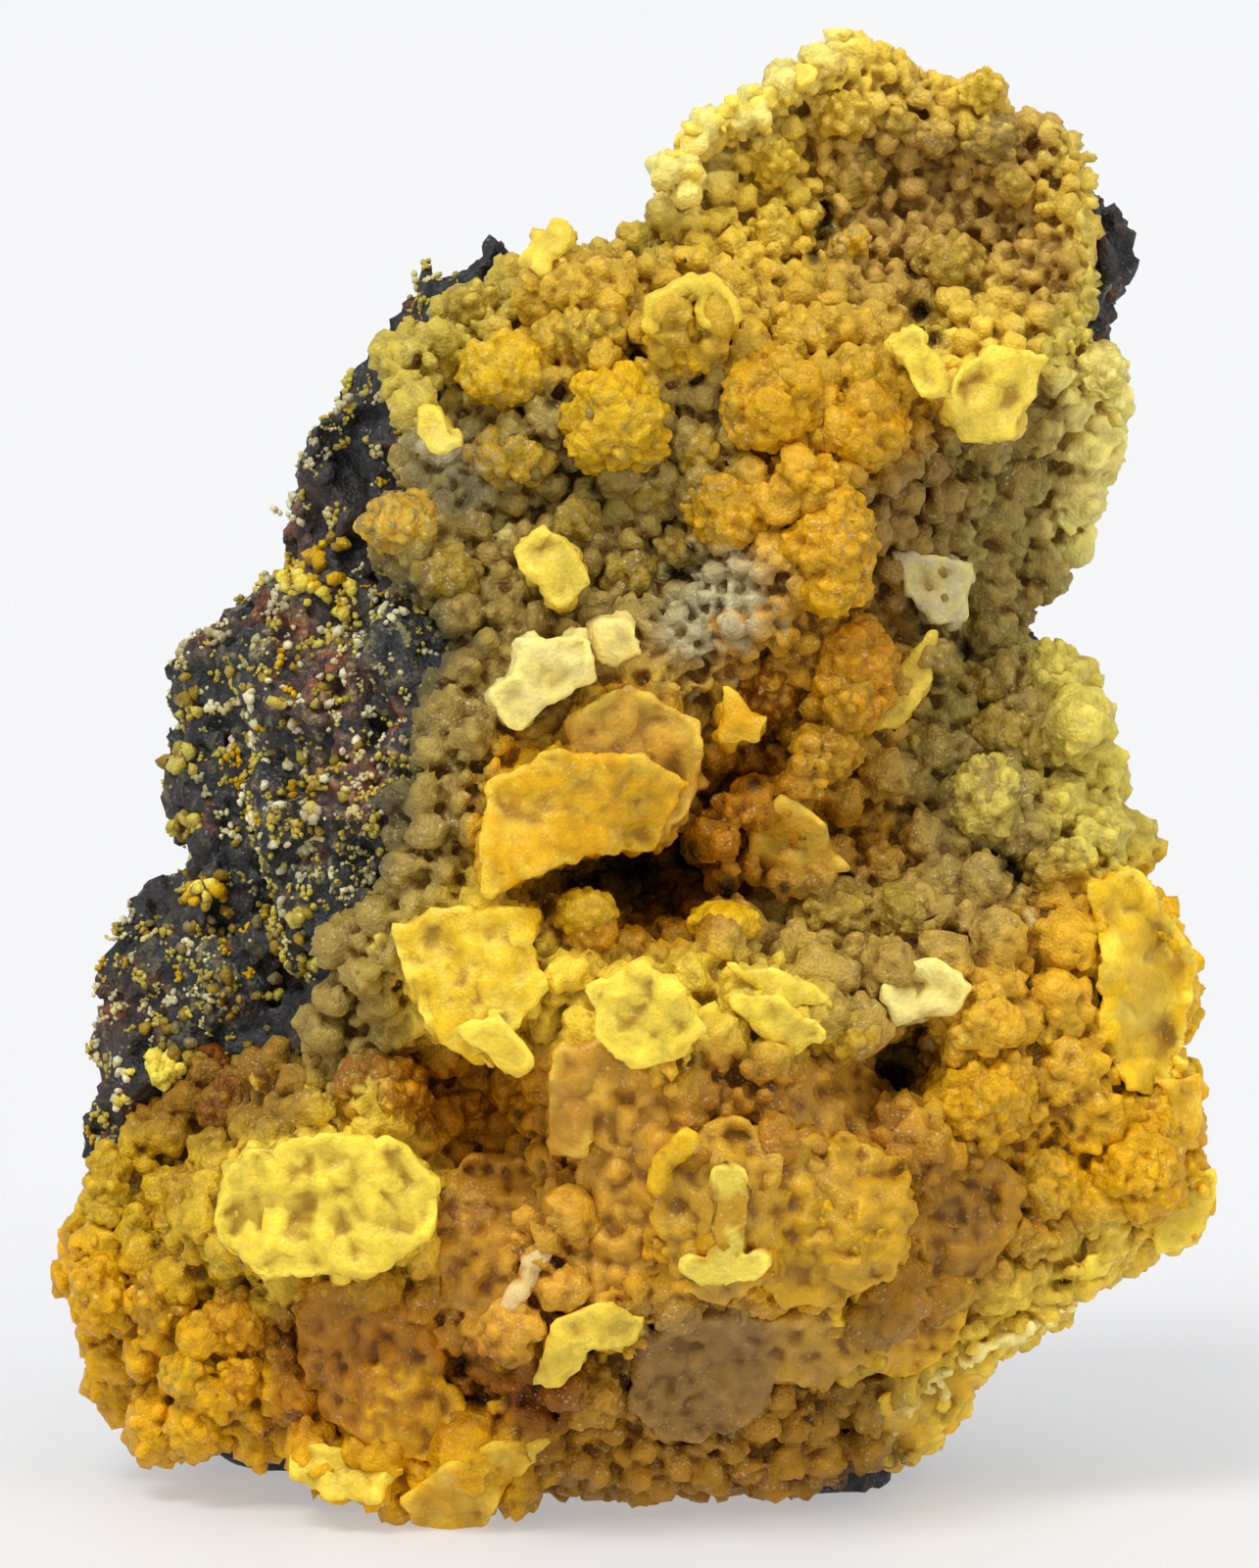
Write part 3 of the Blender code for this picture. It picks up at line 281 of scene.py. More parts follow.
    # closes the space between a front and a back surface over the taken cells of a grid
    def slab(self, across, down, front, back, taken):
        rows, columns = across.shape
        index = np.arange(rows * columns).reshape(rows, columns)
        points = np.concatenate([seen(across, down, depth).reshape(-1, 3) for depth in (front, back)])
        far = rows * columns
        a, b, c, d = index[:-1, :-1][taken], index[1:, :-1][taken], index[1:, 1:][taken], index[:-1, 1:][taken]
        faces = [np.stack([a, d, c], 1), np.stack([a, c, b], 1)]
        faces += [np.stack([a, c, d], 1) + far, np.stack([a, b, c], 1) + far]
        padded = np.pad(taken, 1)
        core = padded[1:-1, 1:-1]
        for side, start, end in ((padded[1:-1, :-2], (0, 0), (1, 0)), (padded[2:, 1:-1], (1, 0), (1, 1)),
                                 (padded[1:-1, 2:], (1, 1), (0, 1)), (padded[:-2, 1:-1], (0, 1), (0, 0))):
            i, j = np.nonzero(core & ~side)
            p, q = index[i + start[0], j + start[1]], index[i + end[0], j + end[1]]
            faces += [np.stack([p, q, q + far], 1), np.stack([p, q + far, p + far], 1)]
        faces = np.concatenate(faces)
        used, tidy = np.unique(faces, return_inverse=True)
        self.add(points[used], tidy.reshape(-1, 3))

    # a finger: balls along a line, near enough to merge
    def finger(self, kind, radius, line, dice):
        points = seen(*np.array(line, float).T + np.array([[0], [0], [radius]]))
        for start, end in zip(points, points[1:]):
            count = max(2, int(np.linalg.norm(end - start) / (0.45 * radius * mm)))
            t = np.linspace(0, 1, count, endpoint=False)[:, None]
            jitter = dice.normal(0, 0.12 * radius * mm, (count, 3))
            sizes = radius * mm * (1 + dice.uniform(-0.15, 0.15, count))
            self.balls(start + (end - start) * t + jitter, sizes, kind, detail=1)

    # a broken edge: balls and shards heaped along a line
    def edge(self, kind, radius, line, dice):
        points = seen(*np.array(line, float).T + np.array([[0], [0], [radius]]))
        for start, end in zip(points, points[1:]):
            count = max(3, int(np.linalg.norm(end - start) / (0.3 * radius * mm)))
            t = dice.uniform(0, 1, count)[:, None]
            heap = start + (end - start) * t + dice.normal(0, 0.42 * radius * mm, (count, 3))
            sizes = radius * mm * dice.uniform(0.35, 0.95, count)
            self.chips(heap, sizes * 1.2, np.tile(-ahead, (count, 1)), dice, kind, flat=0.45, lean=1.0)

    def piece(self, name):
        return meshPiece(name, np.concatenate(self.points), np.concatenate(self.faces))


def meshPiece(name, points, faces):
    mesh = bpy.data.meshes.new(name)
    mesh.vertices.add(len(points))
    mesh.vertices.foreach_set("co", points.astype(np.float32).ravel())
    mesh.loops.add(faces.size)
    mesh.loops.foreach_set("vertex_index", faces.astype(np.int32).ravel())
    mesh.polygons.add(len(faces))
    mesh.polygons.foreach_set("loop_start", np.arange(0, faces.size, faces.shape[1], dtype=np.int32))
    mesh.update(calc_edges=True)
    piece = bpy.data.objects.new(name, mesh)
    bpy.context.scene.collection.objects.link(piece)
    return piece


def applyModifiers(piece):
    graph = bpy.context.evaluated_depsgraph_get()
    mesh = bpy.data.meshes.new_from_object(piece.evaluated_get(graph))
    piece.modifiers.clear()
    old = piece.data
    piece.data = mesh
    bpy.data.meshes.remove(old)


# one skin over overlapping shapes, smoothed a little
def fuse(piece, grain, smoothing=1):
    remesh = piece.modifiers.new("skin", "REMESH")
    remesh.mode = "VOXEL"
    remesh.voxel_size = grain
    if smoothing:
        smooth = piece.modifiers.new("soften", "SMOOTH")
        smooth.factor = 0.5
        smooth.iterations = smoothing
    applyModifiers(piece)
    return piece


def pointsOf(piece):
    points = np.empty(3 * len(piece.data.vertices), np.float32)
    piece.data.vertices.foreach_get("co", points)
    return points.reshape(-1, 3).astype(float)


def normalsOf(piece):
    normals = np.empty(3 * len(piece.data.vertices), np.float32)
    piece.data.vertices.foreach_get("normal", normals)
    return normals.reshape(-1, 3).astype(float)


def setPoints(piece, points):
    piece.data.vertices.foreach_set("co", points.astype(np.float32).ravel())
    piece.data.update()


def trianglesOf(piece):
    piece.data.calc_loop_triangles()
    faces = np.empty(3 * len(piece.data.loop_triangles), np.int32)
    piece.data.loop_triangles.foreach_get("vertices", faces)
    return faces.reshape(-1, 3)


def setShare(piece, name, values):
    layer = piece.data.attributes.get(name) or piece.data.attributes.new(name, "FLOAT", "POINT")
    layer.data.foreach_set("value", np.asarray(values, np.float32))


def noiseAt(points, size, shift=0.0):
    offset = Vector((shift, 2 * shift, 0.5 * shift))
    return np.array([noise.noise(Vector(point) / size + offset) for point in points])


# how far each point stands out of a smoothed copy of its skin, in millimetres: + on tops, - in creases
def standOut(piece, rounds):
    points = pointsOf(piece)
    normals = normalsOf(piece)
    edges = np.empty(2 * len(piece.data.edges), np.int32)
    piece.data.edges.foreach_get("vertices", edges)
    edges = edges.reshape(-1, 2)
    count = len(points)
    near = np.concatenate([edges, edges[:, ::-1]])
    degree = np.maximum(1, np.bincount(near[:, 0], minlength=count))
    soft = points.copy()
    for _ in range(rounds):
        total = [np.bincount(near[:, 0], weights=soft[near[:, 1], axis], minlength=count) for axis in range(3)]
        soft = 0.4 * soft + 0.6 * np.stack(total, 1) / degree[:, None]
    return ((points - soft) * normals).sum(1) / mm


def treeOf(points):
    tree = KDTree(len(points))
    for i, point in enumerate(points):
        tree.insert(point, i)
    tree.balance()
    return tree


# picks well-spread points: no two nearer than the spacing that belongs to the first one
def spread(points, spacing, dice):
    tree = treeOf(points)
    free = np.ones(len(points), bool)
    chosen = []
    for i in dice.permutation(len(points)):
        if free[i]:
            chosen.append(i)
            for hit in tree.find_range(points[i], spacing[i]):
                free[hit[1]] = False
    return np.array(chosen)


# Colours of the crust as it shows in soft light (sRGB, 0 to 255); a spot is a mix of these.
crustColours = {
    "amber": (206, 138, 2),
    "gold": (230, 182, 6),
    "lemon": (255, 236, 92),
    "chalk": (238, 230, 186),
    "olive": (166, 138, 42),
    "ash": (140, 124, 80),
    "umber": (128, 66, 4),
    "sand": (208, 164, 66),
    "lime": (214, 196, 84),
    "black": (28, 26, 25),
}
kindNames = list(crustColours)

# Patches of the crust: what it is made of there, how big its balls are (mm, smallest and biggest),
# then places (across, down, reach) of the front view.
crustPatches = {
    "bowlFloor": ("ash sand sand", (0.5, 0.8), [(950, 200, 75), (1040, 150, 45), (905, 260, 40),
        (1040, 250, 60), (880, 150, 45)]),
    "bowlWall": ("sand gold lemon", (0.55, 0.95), [(800, 180, 45), (870, 95, 40), (1000, 100, 35),
        (1085, 200, 30), (1000, 320, 45), (760, 230, 40)]),
    "bowlRim": ("lemon lemon lime chalk", (0.6, 1.2), [(715, 165, 30), (760, 110, 30), (830, 65, 28),
        (690, 190, 24)]),
    "lobeEdge": ("lime olive", (0.5, 0.8), [(1112, 200, 18), (1110, 300, 18), (1080, 345, 18)]),
    "slab": ("sand olive gold", (0.6, 1.2), [(600, 290, 55), (690, 300, 45), (780, 290, 45), (850, 330, 45),
        (560, 330, 45), (640, 360, 45)]),
    "slabEdge": ("olive lime", (0.7, 1.3), [(500, 300, 38), (440, 345, 30), (590, 250, 28), (660, 240, 28)]),
    "heads": ("gold amber sand", (0.7, 1.3), [(870, 420, 45), (780, 520, 50), (930, 420, 30)]),
    "oliveField": ("olive ash", (0.65, 1.2), [(590, 520, 60), (670, 500, 40), (520, 560, 45), (470, 590, 45),
        (650, 580, 45), (720, 480, 35), (560, 440, 40), (700, 420, 35)]),
    # painted shade: this step gets a darker mix for the shade that falls on it
    "shadedStep": ("ash olive umber", (0.6, 1.1), [(950, 500, 35), (930, 600, 35), (900, 540, 28)]),
    "rightWall": ("olive ash", (1.1, 2.2), [(1040, 480, 55), (1020, 560, 45), (1000, 430, 30)]),
    "wallEdge": ("lemon chalk lemon", (0.9, 1.6), [(1120, 400, 22), (1108, 460, 24), (1096, 530, 26)]),
    "wornPatch": ("ash chalk black", (0.5, 0.9), [(740, 610, 42), (480, 490, 24), (700, 650, 24)]),
    "darkBand": ("black ash black", None, [(395, 620, 24), (430, 612, 20), (440, 655, 26), (404, 695, 24),
        (392, 760, 20), (398, 820, 20), (380, 880, 18)]),
    "ridge": ("olive ash", (0.8, 1.6), [(455, 760, 34), (452, 840, 34), (430, 880, 26), (486, 700, 24)]),
    "footDark": ("black", None, [(862, 1528, 22), (892, 1518, 18)]),
    "ridgeLow": ("ash olive", (0.8, 1.5), [(380, 960, 45), (360, 1050, 40), (430, 900, 30)]),
    "greatShell": ("amber gold", None, [(600, 830, 70), (530, 850, 40), (660, 790, 40)]),
    "shellTop": ("sand olive", None, [(640, 720, 45), (690, 700, 35), (580, 730, 40)]),
    "underShell": ("umber amber", (0.8, 1.5), [(620, 905, 60), (720, 890, 55), (760, 800, 35),
        (780, 870, 45)]),
    "middle": ("olive amber", (0.6, 1.2), [(860, 690, 50), (870, 770, 45), (820, 640, 40), (780, 700, 35)]),
    "middleLow": ("umber olive amber", (0.6, 1.2), [(800, 860, 45), (880, 850, 40), (900, 720, 30)]),
    "rightSteps": ("ash olive", (1.1, 2.0), [(980, 720, 55), (950, 790, 45), (1010, 870, 45),
        (1040, 730, 35)]),
    "stepEdge": ("lime", (1.3, 2.2), [(1090, 690, 28), (1100, 750, 32), (1120, 830, 34)]),
    "shelf": ("olive sand ash", (1.1, 2.1), [(840, 960, 60), (920, 950, 50), (780, 940, 40), (870, 1040, 35),
        (1010, 930, 40)]),
    "band": ("gold lemon", (0.9, 1.8), [(470, 990, 60), (560, 1010, 40), (650, 1040, 50), (740, 1010, 40),
        (800, 1030, 40)]),
    "rightHeads": ("amber sand gold", (1.0, 2.2), [(1000, 1040, 50), (1010, 1110, 55), (1070, 1030, 45),
        (1070, 950, 40), (1080, 1120, 40)]),
    "lip": ("gold", None, [(1165, 960, 45), (1175, 1050, 42)]),
    "lipLow": ("amber gold", (1.0, 2.0), [(1150, 1190, 55), (1100, 1200, 45), (1200, 1220, 35)]),
    "hollow": ("amber", (0.9, 1.8), [(490, 1120, 50), (560, 1140, 35), (440, 1110, 30)]),
    "ribs": ("sand amber", (1.0, 2.4), [(600, 1120, 40), (640, 1140, 40)]),
    "belly": ("amber umber umber sand", (1.4, 2.9), [(700, 1200, 50), (820, 1180, 60), (900, 1180, 45),
        (760, 1100, 50), (860, 1110, 45)]),
    "bellyLow": ("gold amber umber", (1.4, 3.0), [(700, 1260, 50), (790, 1280, 50), (870, 1260, 50),
        (640, 1220, 40)]),
    "leftShell": ("gold lemon", (0.9, 1.7), [(330, 1230, 80), (270, 1230, 50), (410, 1230, 40)]),
    "brokenFace": ("amber sand", (0.9, 2.2), [(520, 1240, 60), (500, 1320, 50), (580, 1300, 40),
        (590, 1200, 35)]),
    "mauveFace": ("umber sand ash", None, [(710, 1390, 50), (690, 1440, 40), (760, 1360, 35)]),
    "rightSlope": ("umber amber olive umber", (1.2, 2.5), [(1000, 1220, 55), (960, 1290, 50),
        (1060, 1260, 40), (930, 1340, 40)]),
    "apron": ("gold sand lemon", (1.2, 2.6), [(1090, 1300, 40), (1020, 1360, 36), (960, 1430, 36),
        (1150, 1262, 28)]),
    "underApron": ("umber olive", (1.0, 2.0), [(900, 1400, 40), (860, 1440, 40), (860, 1380, 35)]),
    "bottom": ("umber olive amber", (0.7, 1.3), [(800, 1470, 45), (700, 1490, 45), (620, 1480, 45),
        (560, 1510, 30), (860, 1490, 30)]),
    "column": ("amber umber", (1.1, 2.2), [(390, 1380, 65), (350, 1340, 45), (430, 1440, 45),
        (330, 1420, 35)]),
    "gap": ("umber", (0.7, 1.3), [(300, 1370, 26), (480, 1400, 24), (560, 1430, 30)]),
    "foot": ("gold amber", (1.1, 2.4), [(360, 1505, 45), (480, 1520, 45), (430, 1500, 35)]),
    "corner": ("amber gold", (1.0, 1.9), [(110, 1310, 42), (150, 1350, 38), (200, 1440, 35), (230, 1400, 35),
        (180, 1400, 30)]),
    "cornerTop": ("olive gold", (0.8, 1.6), [(120, 1200, 40), (190, 1200, 45), (160, 1260, 40),
        (230, 1300, 40)]),
    "cornerHollow": ("umber umber olive", (0.7, 1.4), [(230, 1120, 50), (290, 1130, 30), (170, 1130, 35)]),
}

# Heads of each area: what they are made of, place (across, down, depth of the nearest point), then half
# width, half depth and half height in millimetres. Those of "smooth" have no lobes.
crustHeads = {
    "bowl": [("olive gold", 790, 165, 4.2, 1.5, 1.4, 1.5), ("olive", 872, 180, 6.4, 1.8, 1.6, 1.7),
        ("olive", 915, 125, 6.6, 1.3, 1.2, 1.2), ("olive ash", 955, 142, 6.4, 1.2, 1.2, 1.2),
        ("olive gold", 1003, 92, 6.4, 1.6, 1.6, 1.3), ("olive", 1035, 190, 6.2, 1.2, 1.2, 1.2),
        ("olive", 968, 268, 4.8, 2.2, 2, 2), ("olive ash", 1010, 140, 6.2, 2.1, 2, 1.7),
        ("gold", 873, 246, 4, 1, 1, 1), ("olive gold", 792, 240, 3.8, 1.8, 1.6, 1.7),
        ("olive gold", 862, 118, 4.8, 1.9, 1.6, 1.6)],
    "slab": [("sand gold", 590, 300, -5.8, 4.2, 3.4, 2.6), ("olive", 600, 338, -7.4, 2.4, 2, 1.7),
        ("gold", 703, 338, -8.4, 2.9, 3, 3), ("olive", 482, 312, -2.8, 1.7, 1.8, 1.7),
        ("olive gold", 455, 362, -4.4, 1.7, 1.8, 1.7)],
    "heads": [("gold", 515, 376, -8.6, 3, 3, 2.5), ("gold", 628, 430, -10.4, 3.4, 3.4, 3.6),
        ("gold amber", 793, 412, -10.6, 3.7, 3.6, 3.3), ("gold amber", 880, 440, -10, 3, 3.4, 2.5),
        ("olive gold", 895, 385, -8.4, 2.8, 3, 2.2), ("sand gold", 845, 340, -6.4, 3.4, 3, 1.9),
        ("olive gold", 522, 466, -8.2, 2.9, 3, 2), ("sand gold", 410, 534, -9.8, 2.6, 2.8, 2.1)],
    "oliveField": [("olive", 455, 585, -10.4, 2.3, 2.4, 1.8), ("olive", 660, 505, -7.4, 1.8, 1.9, 1.8),
        ("olive gold", 715, 460, -7.8, 1.7, 1.8, 1.7), ("olive", 590, 535, -8.2, 1.6, 1.8, 1.6),
        ("olive", 640, 585, -8.2, 1.8, 1.8, 1.7), ("olive", 690, 560, -7.2, 1.6, 1.8, 1.6)],
    "blocks": [("gold amber", 750, 520, -10.4, 3, 3, 2.6), ("gold amber", 828, 492, -11.4, 2.4, 2.8, 1.7),
        ("gold amber", 848, 560, -13, 2.9, 4, 4.2), ("amber", 868, 690, -10.2, 2.9, 3.2, 4),
        ("amber olive", 845, 765, -9.8, 2.3, 2.8, 1.9), ("umber", 780, 700, -8.4, 2.4, 2.8, 2.8),
        ("amber olive", 735, 855, -6.8, 2.4, 2.6, 2.2)],
    "rightWall": [("lime", 1130, 384, 2, 1.4, 1.8, 1.7), ("lime", 1095, 740, -3.2, 1.7, 2.2, 2.1),
        ("lime", 1011, 818, -6, 2.5, 2.8, 2.9), ("olive", 1030, 755, -2.6, 2.6, 2.6, 2.4),
        ("lime", 1075, 685, -0.2, 1.7, 2.2, 2), ("olive", 930, 770, -2, 2.4, 2.4, 2.4),
        ("olive", 1010, 700, 0.6, 2.2, 2.2, 1.8), ("lime", 1115, 850, -2.2, 2, 2.4, 2.6)],
    "shelf": [("olive", 850, 930, -10, 2.6, 2.8, 2), ("olive", 925, 930, -9.6, 2.6, 2.8, 2.2),
        ("olive", 820, 985, -11.2, 2.6, 2.6, 2.2), ("olive", 885, 990, -10.4, 2.3, 2.6, 2.2),
        ("olive gold", 860, 1052, -15.8, 2.6, 3, 1.9), ("olive", 1075, 880, -5.4, 2.3, 2.6, 1.8)],
    "smooth": [("olive gold", 597, 932, -18.2, 1.9, 2.4, 1.4), ("gold", 738, 942, -13.8, 2.2, 2.2, 1.2)],
    "lip": [("sand gold", 1000, 1040, -12.8, 3, 3.4, 2.7), ("gold amber", 1000, 1122, -13.4, 3.4, 3.6, 3.1),
        ("sand gold", 1075, 1030, -9.8, 2.2, 3, 3), ("gold amber", 1160, 1192, -10.2, 3.4, 4, 3.6),
        ("sand gold", 1065, 1205, -10.2, 2.6, 3, 2.4), ("amber olive", 1045, 1260, -10.4, 2.8, 3.2, 2)],
    "hollow": [("amber umber", 485, 1130, -7.8, 2.6, 2.6, 2.8),
        ("umber umber umber amber", 388, 1112, -15, 3.2, 4, 3)],
    "corner": [("gold amber", 105, 1318, -5.8, 2.3, 2.8, 2.6), ("amber olive", 165, 1325, -7.2, 2, 2.6, 2.5),
        ("olive gold", 110, 1215, -3.4, 1.6, 2.4, 3.2), ("amber olive", 190, 1230, -4.4, 2.6, 3, 3),
        ("umber", 235, 1130, -3.2, 2, 2.4, 2)],
    "foot": [("amber", 250, 1345, -9.6, 2.7, 3, 2.4), ("olive gold", 192, 1402, -9, 1.8, 2.2, 1.6),
        ("amber", 248, 1405, -9.6, 1.8, 2.2, 1.7), ("gold amber", 203, 1455, -8, 2.2, 2.6, 1.9),
        ("amber", 350, 1330, -12.8, 3.2, 3.6, 3), ("amber", 400, 1420, -14.2, 3.9, 4.2, 3.8)],
    "belly": [("gold amber", 860, 1250, -20.2, 4.2, 5, 3.6), ("gold amber", 780, 1310, -19.8, 4.6, 5, 2),
        ("olive gold", 862, 1370, -14.2, 2.8, 3.4, 2.5), ("amber olive", 602, 1420, -16.6, 2.2, 2.6, 2.4)],
}

# Flakes and shells: what they are made of, thickness in mm, then an outline (across, down, depth).
crustFlakes = {
    "topFlake": ("lemon gold", 1.2, [(528, 268, -3), (548, 236, -2), (582, 232, -2), (580, 256, -4),
        (552, 276, -5)]),
    "ridgeFlake": ("lemon gold", 1.2, [(428, 408, -8), (446, 424, -9), (468, 452, -10), (448, 462, -10),
        (428, 440, -9)]),
    "diamondFlake": ("lemon gold", 1.4, [(522, 560, -13), (552, 540, -13), (588, 566, -13), (597, 592, -13),
        (572, 620, -14), (545, 592, -14)]),
    "upperChip": ("lemon gold", 1.3, [(908, 346, -11), (936, 338, -11), (962, 372, -11), (972, 408, -11),
        (946, 404, -12)]),
    "hangingShell": ("lemon gold", 1.5, [(1012, 356, -5), (1066, 366, -4), (1052, 402, -5), (1030, 446, -6),
        (985, 450, -6), (962, 424, -6), (984, 380, -5)]),
    "tornFlake": ("lemon chalk", 1.4, [(527, 655, -17), (598, 652, -16), (606, 694, -16), (560, 714, -17),
        (532, 746, -17), (498, 708, -17), (528, 690, -17)]),
    "smallTornFlake": ("lemon chalk sand", 1.2, [(604, 632, -15), (640, 630, -15), (652, 668, -15),
        (608, 672, -15)]),
    "orangeChip": ("gold amber", 1.3, [(742, 704, -12), (778, 734, -12), (772, 752, -12), (734, 754, -12),
        (735, 722, -12)]),
    "greatShellTop": ("sand amber", 2.4, [(575, 735, -15), (640, 700, -14), (712, 740, -13), (716, 800, -12),
        (672, 862, -13), (600, 820, -16)]),
    "greatShell": ("amber gold", 2.2, [(500, 800, -17), (560, 770, -17), (650, 770, -16), (700, 800, -14),
        (664, 866, -14), (600, 872, -17), (545, 892, -19), (500, 916, -19), (488, 866, -19)]),
    "fan": ("amber olive", 1.6, [(764, 850, -9), (800, 812, -10), (834, 834, -10), (862, 884, -9),
        (812, 898, -9), (770, 900, -7)]),
    "glassyFlake": ("ash chalk", 1.4, [(908, 560, -4), (990, 576, -3), (984, 630, -3), (955, 638, -4),
        (928, 606, -4)]),
    "curvedFlake": ("lime gold", 1.5, [(900, 700, -6), (958, 640, -6), (950, 690, -6), (918, 742, -6),
        (895, 742, -6)]),
    "bandShell": ("gold", 1.8, [(402, 946, -18), (445, 930, -18), (556, 926, -17), (540, 960, -19),
        (556, 1010, -20), (524, 1052, -21), (480, 1078, -21), (448, 1060, -20), (424, 1010, -19)]),
    "bandTip": ("lemon gold", 1.6, [(470, 1050, -22), (510, 1040, -22), (544, 1084, -22), (530, 1102, -22)]),
    "bandBlob": ("lemon gold", 1.9, [(604, 1010, -22), (650, 984, -22), (690, 1004, -22), (716, 1050, -21),
        (698, 1078, -21), (650, 1090, -22), (612, 1062, -22)]),
    "petalTop": ("lemon gold", 1.3, [(745, 986, -17), (790, 990, -17), (846, 1016, -16), (852, 1030, -16),
        (790, 1020, -17)]),
    "petal": ("lemon gold", 1.4, [(748, 1018, -18), (800, 1018, -18), (842, 1056, -17), (812, 1074, -17),
        (776, 1058, -18)]),
    "whiteFlake": ("chalk lemon", 1.4, [(900, 1016, -13), (918, 986, -12), (952, 980, -12), (990, 1006, -12),
        (974, 1036, -12), (910, 1046, -13)]),
    "lip": ("gold", 2.2, [(1112, 905, -6), (1160, 888, -3), (1200, 950, -2), (1222, 985, -1),
        (1205, 1058, -2), (1186, 1118, -5), (1150, 1112, -8), (1122, 1040, -8), (1128, 980, -8)]),
    "lipLowChip": ("gold amber", 1.6, [(1186, 1104, -6), (1224, 1100, -4), (1222, 1168, -5),
        (1196, 1180, -7)]),
    "cornerFlake": ("gold lemon", 1.5, [(1172, 1236, -5), (1238, 1192, -4), (1236, 1240, -4),
        (1222, 1270, -4), (1186, 1272, -5)]),
    "leftShell": ("gold lemon", 2.4, [(224, 1206, -15), (262, 1176, -16), (330, 1158, -17), (396, 1162, -17),
        (448, 1206, -17), (440, 1262, -18), (372, 1306, -18), (308, 1296, -17), (262, 1296, -16),
        (226, 1262, -15)]),
    "rib": ("amber umber sand", 1.8, [(566, 1070, -20), (622, 1060, -20), (632, 1090, -20), (596, 1176, -20),
        (560, 1180, -19)]),
    "hook": ("lemon gold", 1.8, [(548, 1410, -18), (562, 1350, -20), (620, 1328, -20), (656, 1346, -19),
        (650, 1368, -19), (598, 1376, -20), (572, 1420, -19)]),
    "apronTop": ("gold lemon", 1.6, [(1110, 1290, -7), (1166, 1256, -5), (1084, 1338, -5), (1008, 1392, -6),
        (982, 1362, -8)]),
    "apronLow": ("gold amber", 1.6, [(900, 1424, -10), (1000, 1376, -8), (1010, 1398, -6), (972, 1440, -5),
        (936, 1486, -4), (896, 1500, -4), (880, 1470, -8)]),
    "footFlake": ("gold lemon", 1.8, [(302, 1478, -11), (362, 1486, -12), (408, 1500, -13), (384, 1534, -14),
        (340, 1526, -13), (300, 1508, -12)]),
    "footCurl": ("gold amber", 2.6, [(412, 1530, -13), (462, 1492, -15), (510, 1476, -15), (558, 1470, -14),
        (512, 1522, -13), (486, 1562, -10.5), (432, 1566, -10.5)]),
}

# Broad sheets and lobes that follow the crust's own surface, overlapping: outlines without depths.
crustSheets = {
    "fanTop": ("amber sand", 2.2, [(770, 1100), (800, 1076), (860, 1080), (905, 1104), (936, 1150),
        (900, 1190), (840, 1170), (790, 1150)]),
    "fanRight": ("amber olive gold", 2.4, [(800, 1170), (860, 1160), (920, 1190), (930, 1240), (905, 1300),
        (850, 1330), (800, 1330), (770, 1280), (776, 1220)]),
    "fanMiddle": ("amber olive sand gold", 2.2, [(690, 1170), (740, 1140), (790, 1160), (800, 1230),
        (790, 1290), (740, 1330), (690, 1310), (670, 1240)]),
    "waxyLeft": ("sand amber", 2.2, [(596, 1180), (640, 1150), (690, 1160), (690, 1230), (660, 1300),
        (610, 1330), (580, 1270)]),
    "brownFace": ("amber sand umber", 2.2, [(452, 1200), (510, 1176), (570, 1190), (580, 1250), (552, 1310),
        (500, 1350), (452, 1320), (444, 1250)]),
    "mauvePlate": ("umber sand umber ash black", 2.0, [(652, 1372), (690, 1336), (750, 1330), (790, 1364),
        (786, 1430), (740, 1462), (680, 1468), (644, 1430)]),
    "lobeLow1": ("amber olive sand", 2.0, [(780, 1352), (826, 1330), (872, 1340), (880, 1384), (840, 1416),
        (796, 1400)]),
    "lobeLow2": ("gold amber", 1.8, [(880, 1350), (940, 1320), (990, 1330), (968, 1376), (916, 1404),
        (880, 1390)]),
    "slopeSheet": ("amber umber olive", 2.2, [(930, 1190), (990, 1170), (1040, 1200), (1040, 1250),
        (1000, 1300), (944, 1310), (924, 1250)]),
    "columnSheet": ("amber umber", 2.4, [(312, 1322), (370, 1306), (430, 1330), (452, 1390), (440, 1450),
        (380, 1470), (330, 1440), (306, 1380)]),
    "columnLobe": ("amber gold", 2.0, [(380, 1404), (430, 1390), (470, 1424), (468, 1470), (420, 1488),
        (380, 1460)]),
    "heartLobe": ("amber sand", 2.0, [(590, 1096), (640, 1090), (690, 1110), (700, 1160), (650, 1180),
        (604, 1160)]),
}

smoothFlakes = ("greatShell", "greatShellTop", "lip", "petal", "petalTop", "hook", "glassyFlake", "rib", "fan")

# Smooth fingers: what they are made of, radius in mm, then a line (across, down, depth).
crustFingers = {
    "cupEdge": ("lemon gold", 0.55, [(716, 318, -9.3), (718, 304, -9.3), (734, 298, -9.3), (748, 306, -9.3),
        (750, 322, -9.3), (738, 330, -9.3), (722, 328, -9.3), (716, 318, -9.3)]),
    "cupLip": ("lemon gold", 0.8, [(664, 330, -9.3), (672, 306, -9.6), (700, 292, -9.6), (734, 290, -9.4)]),
    "cupHole": ("umber", 0.35, [(731, 312, -8.5), (736, 318, -8.5)]),
    "finger": ("lemon lemon lime", 1.3, [(744, 1204, -23.8), (746, 1240, -24.4), (738, 1290, -23.9)]),
    "fingerFoot": ("lemon lemon lime", 0.9, [(704, 1292, -23.2), (740, 1300, -23.8), (786, 1286, -22.8)]),
    "littleFinger": ("gold", 0.9, [(700, 1164, -23), (680, 1180, -22.3), (668, 1220, -21.6)]),
    "crystalRod": ("sand chalk", 0.8, [(560, 1268, -20), (534, 1310, -20), (516, 1346, -19.5)]),
}

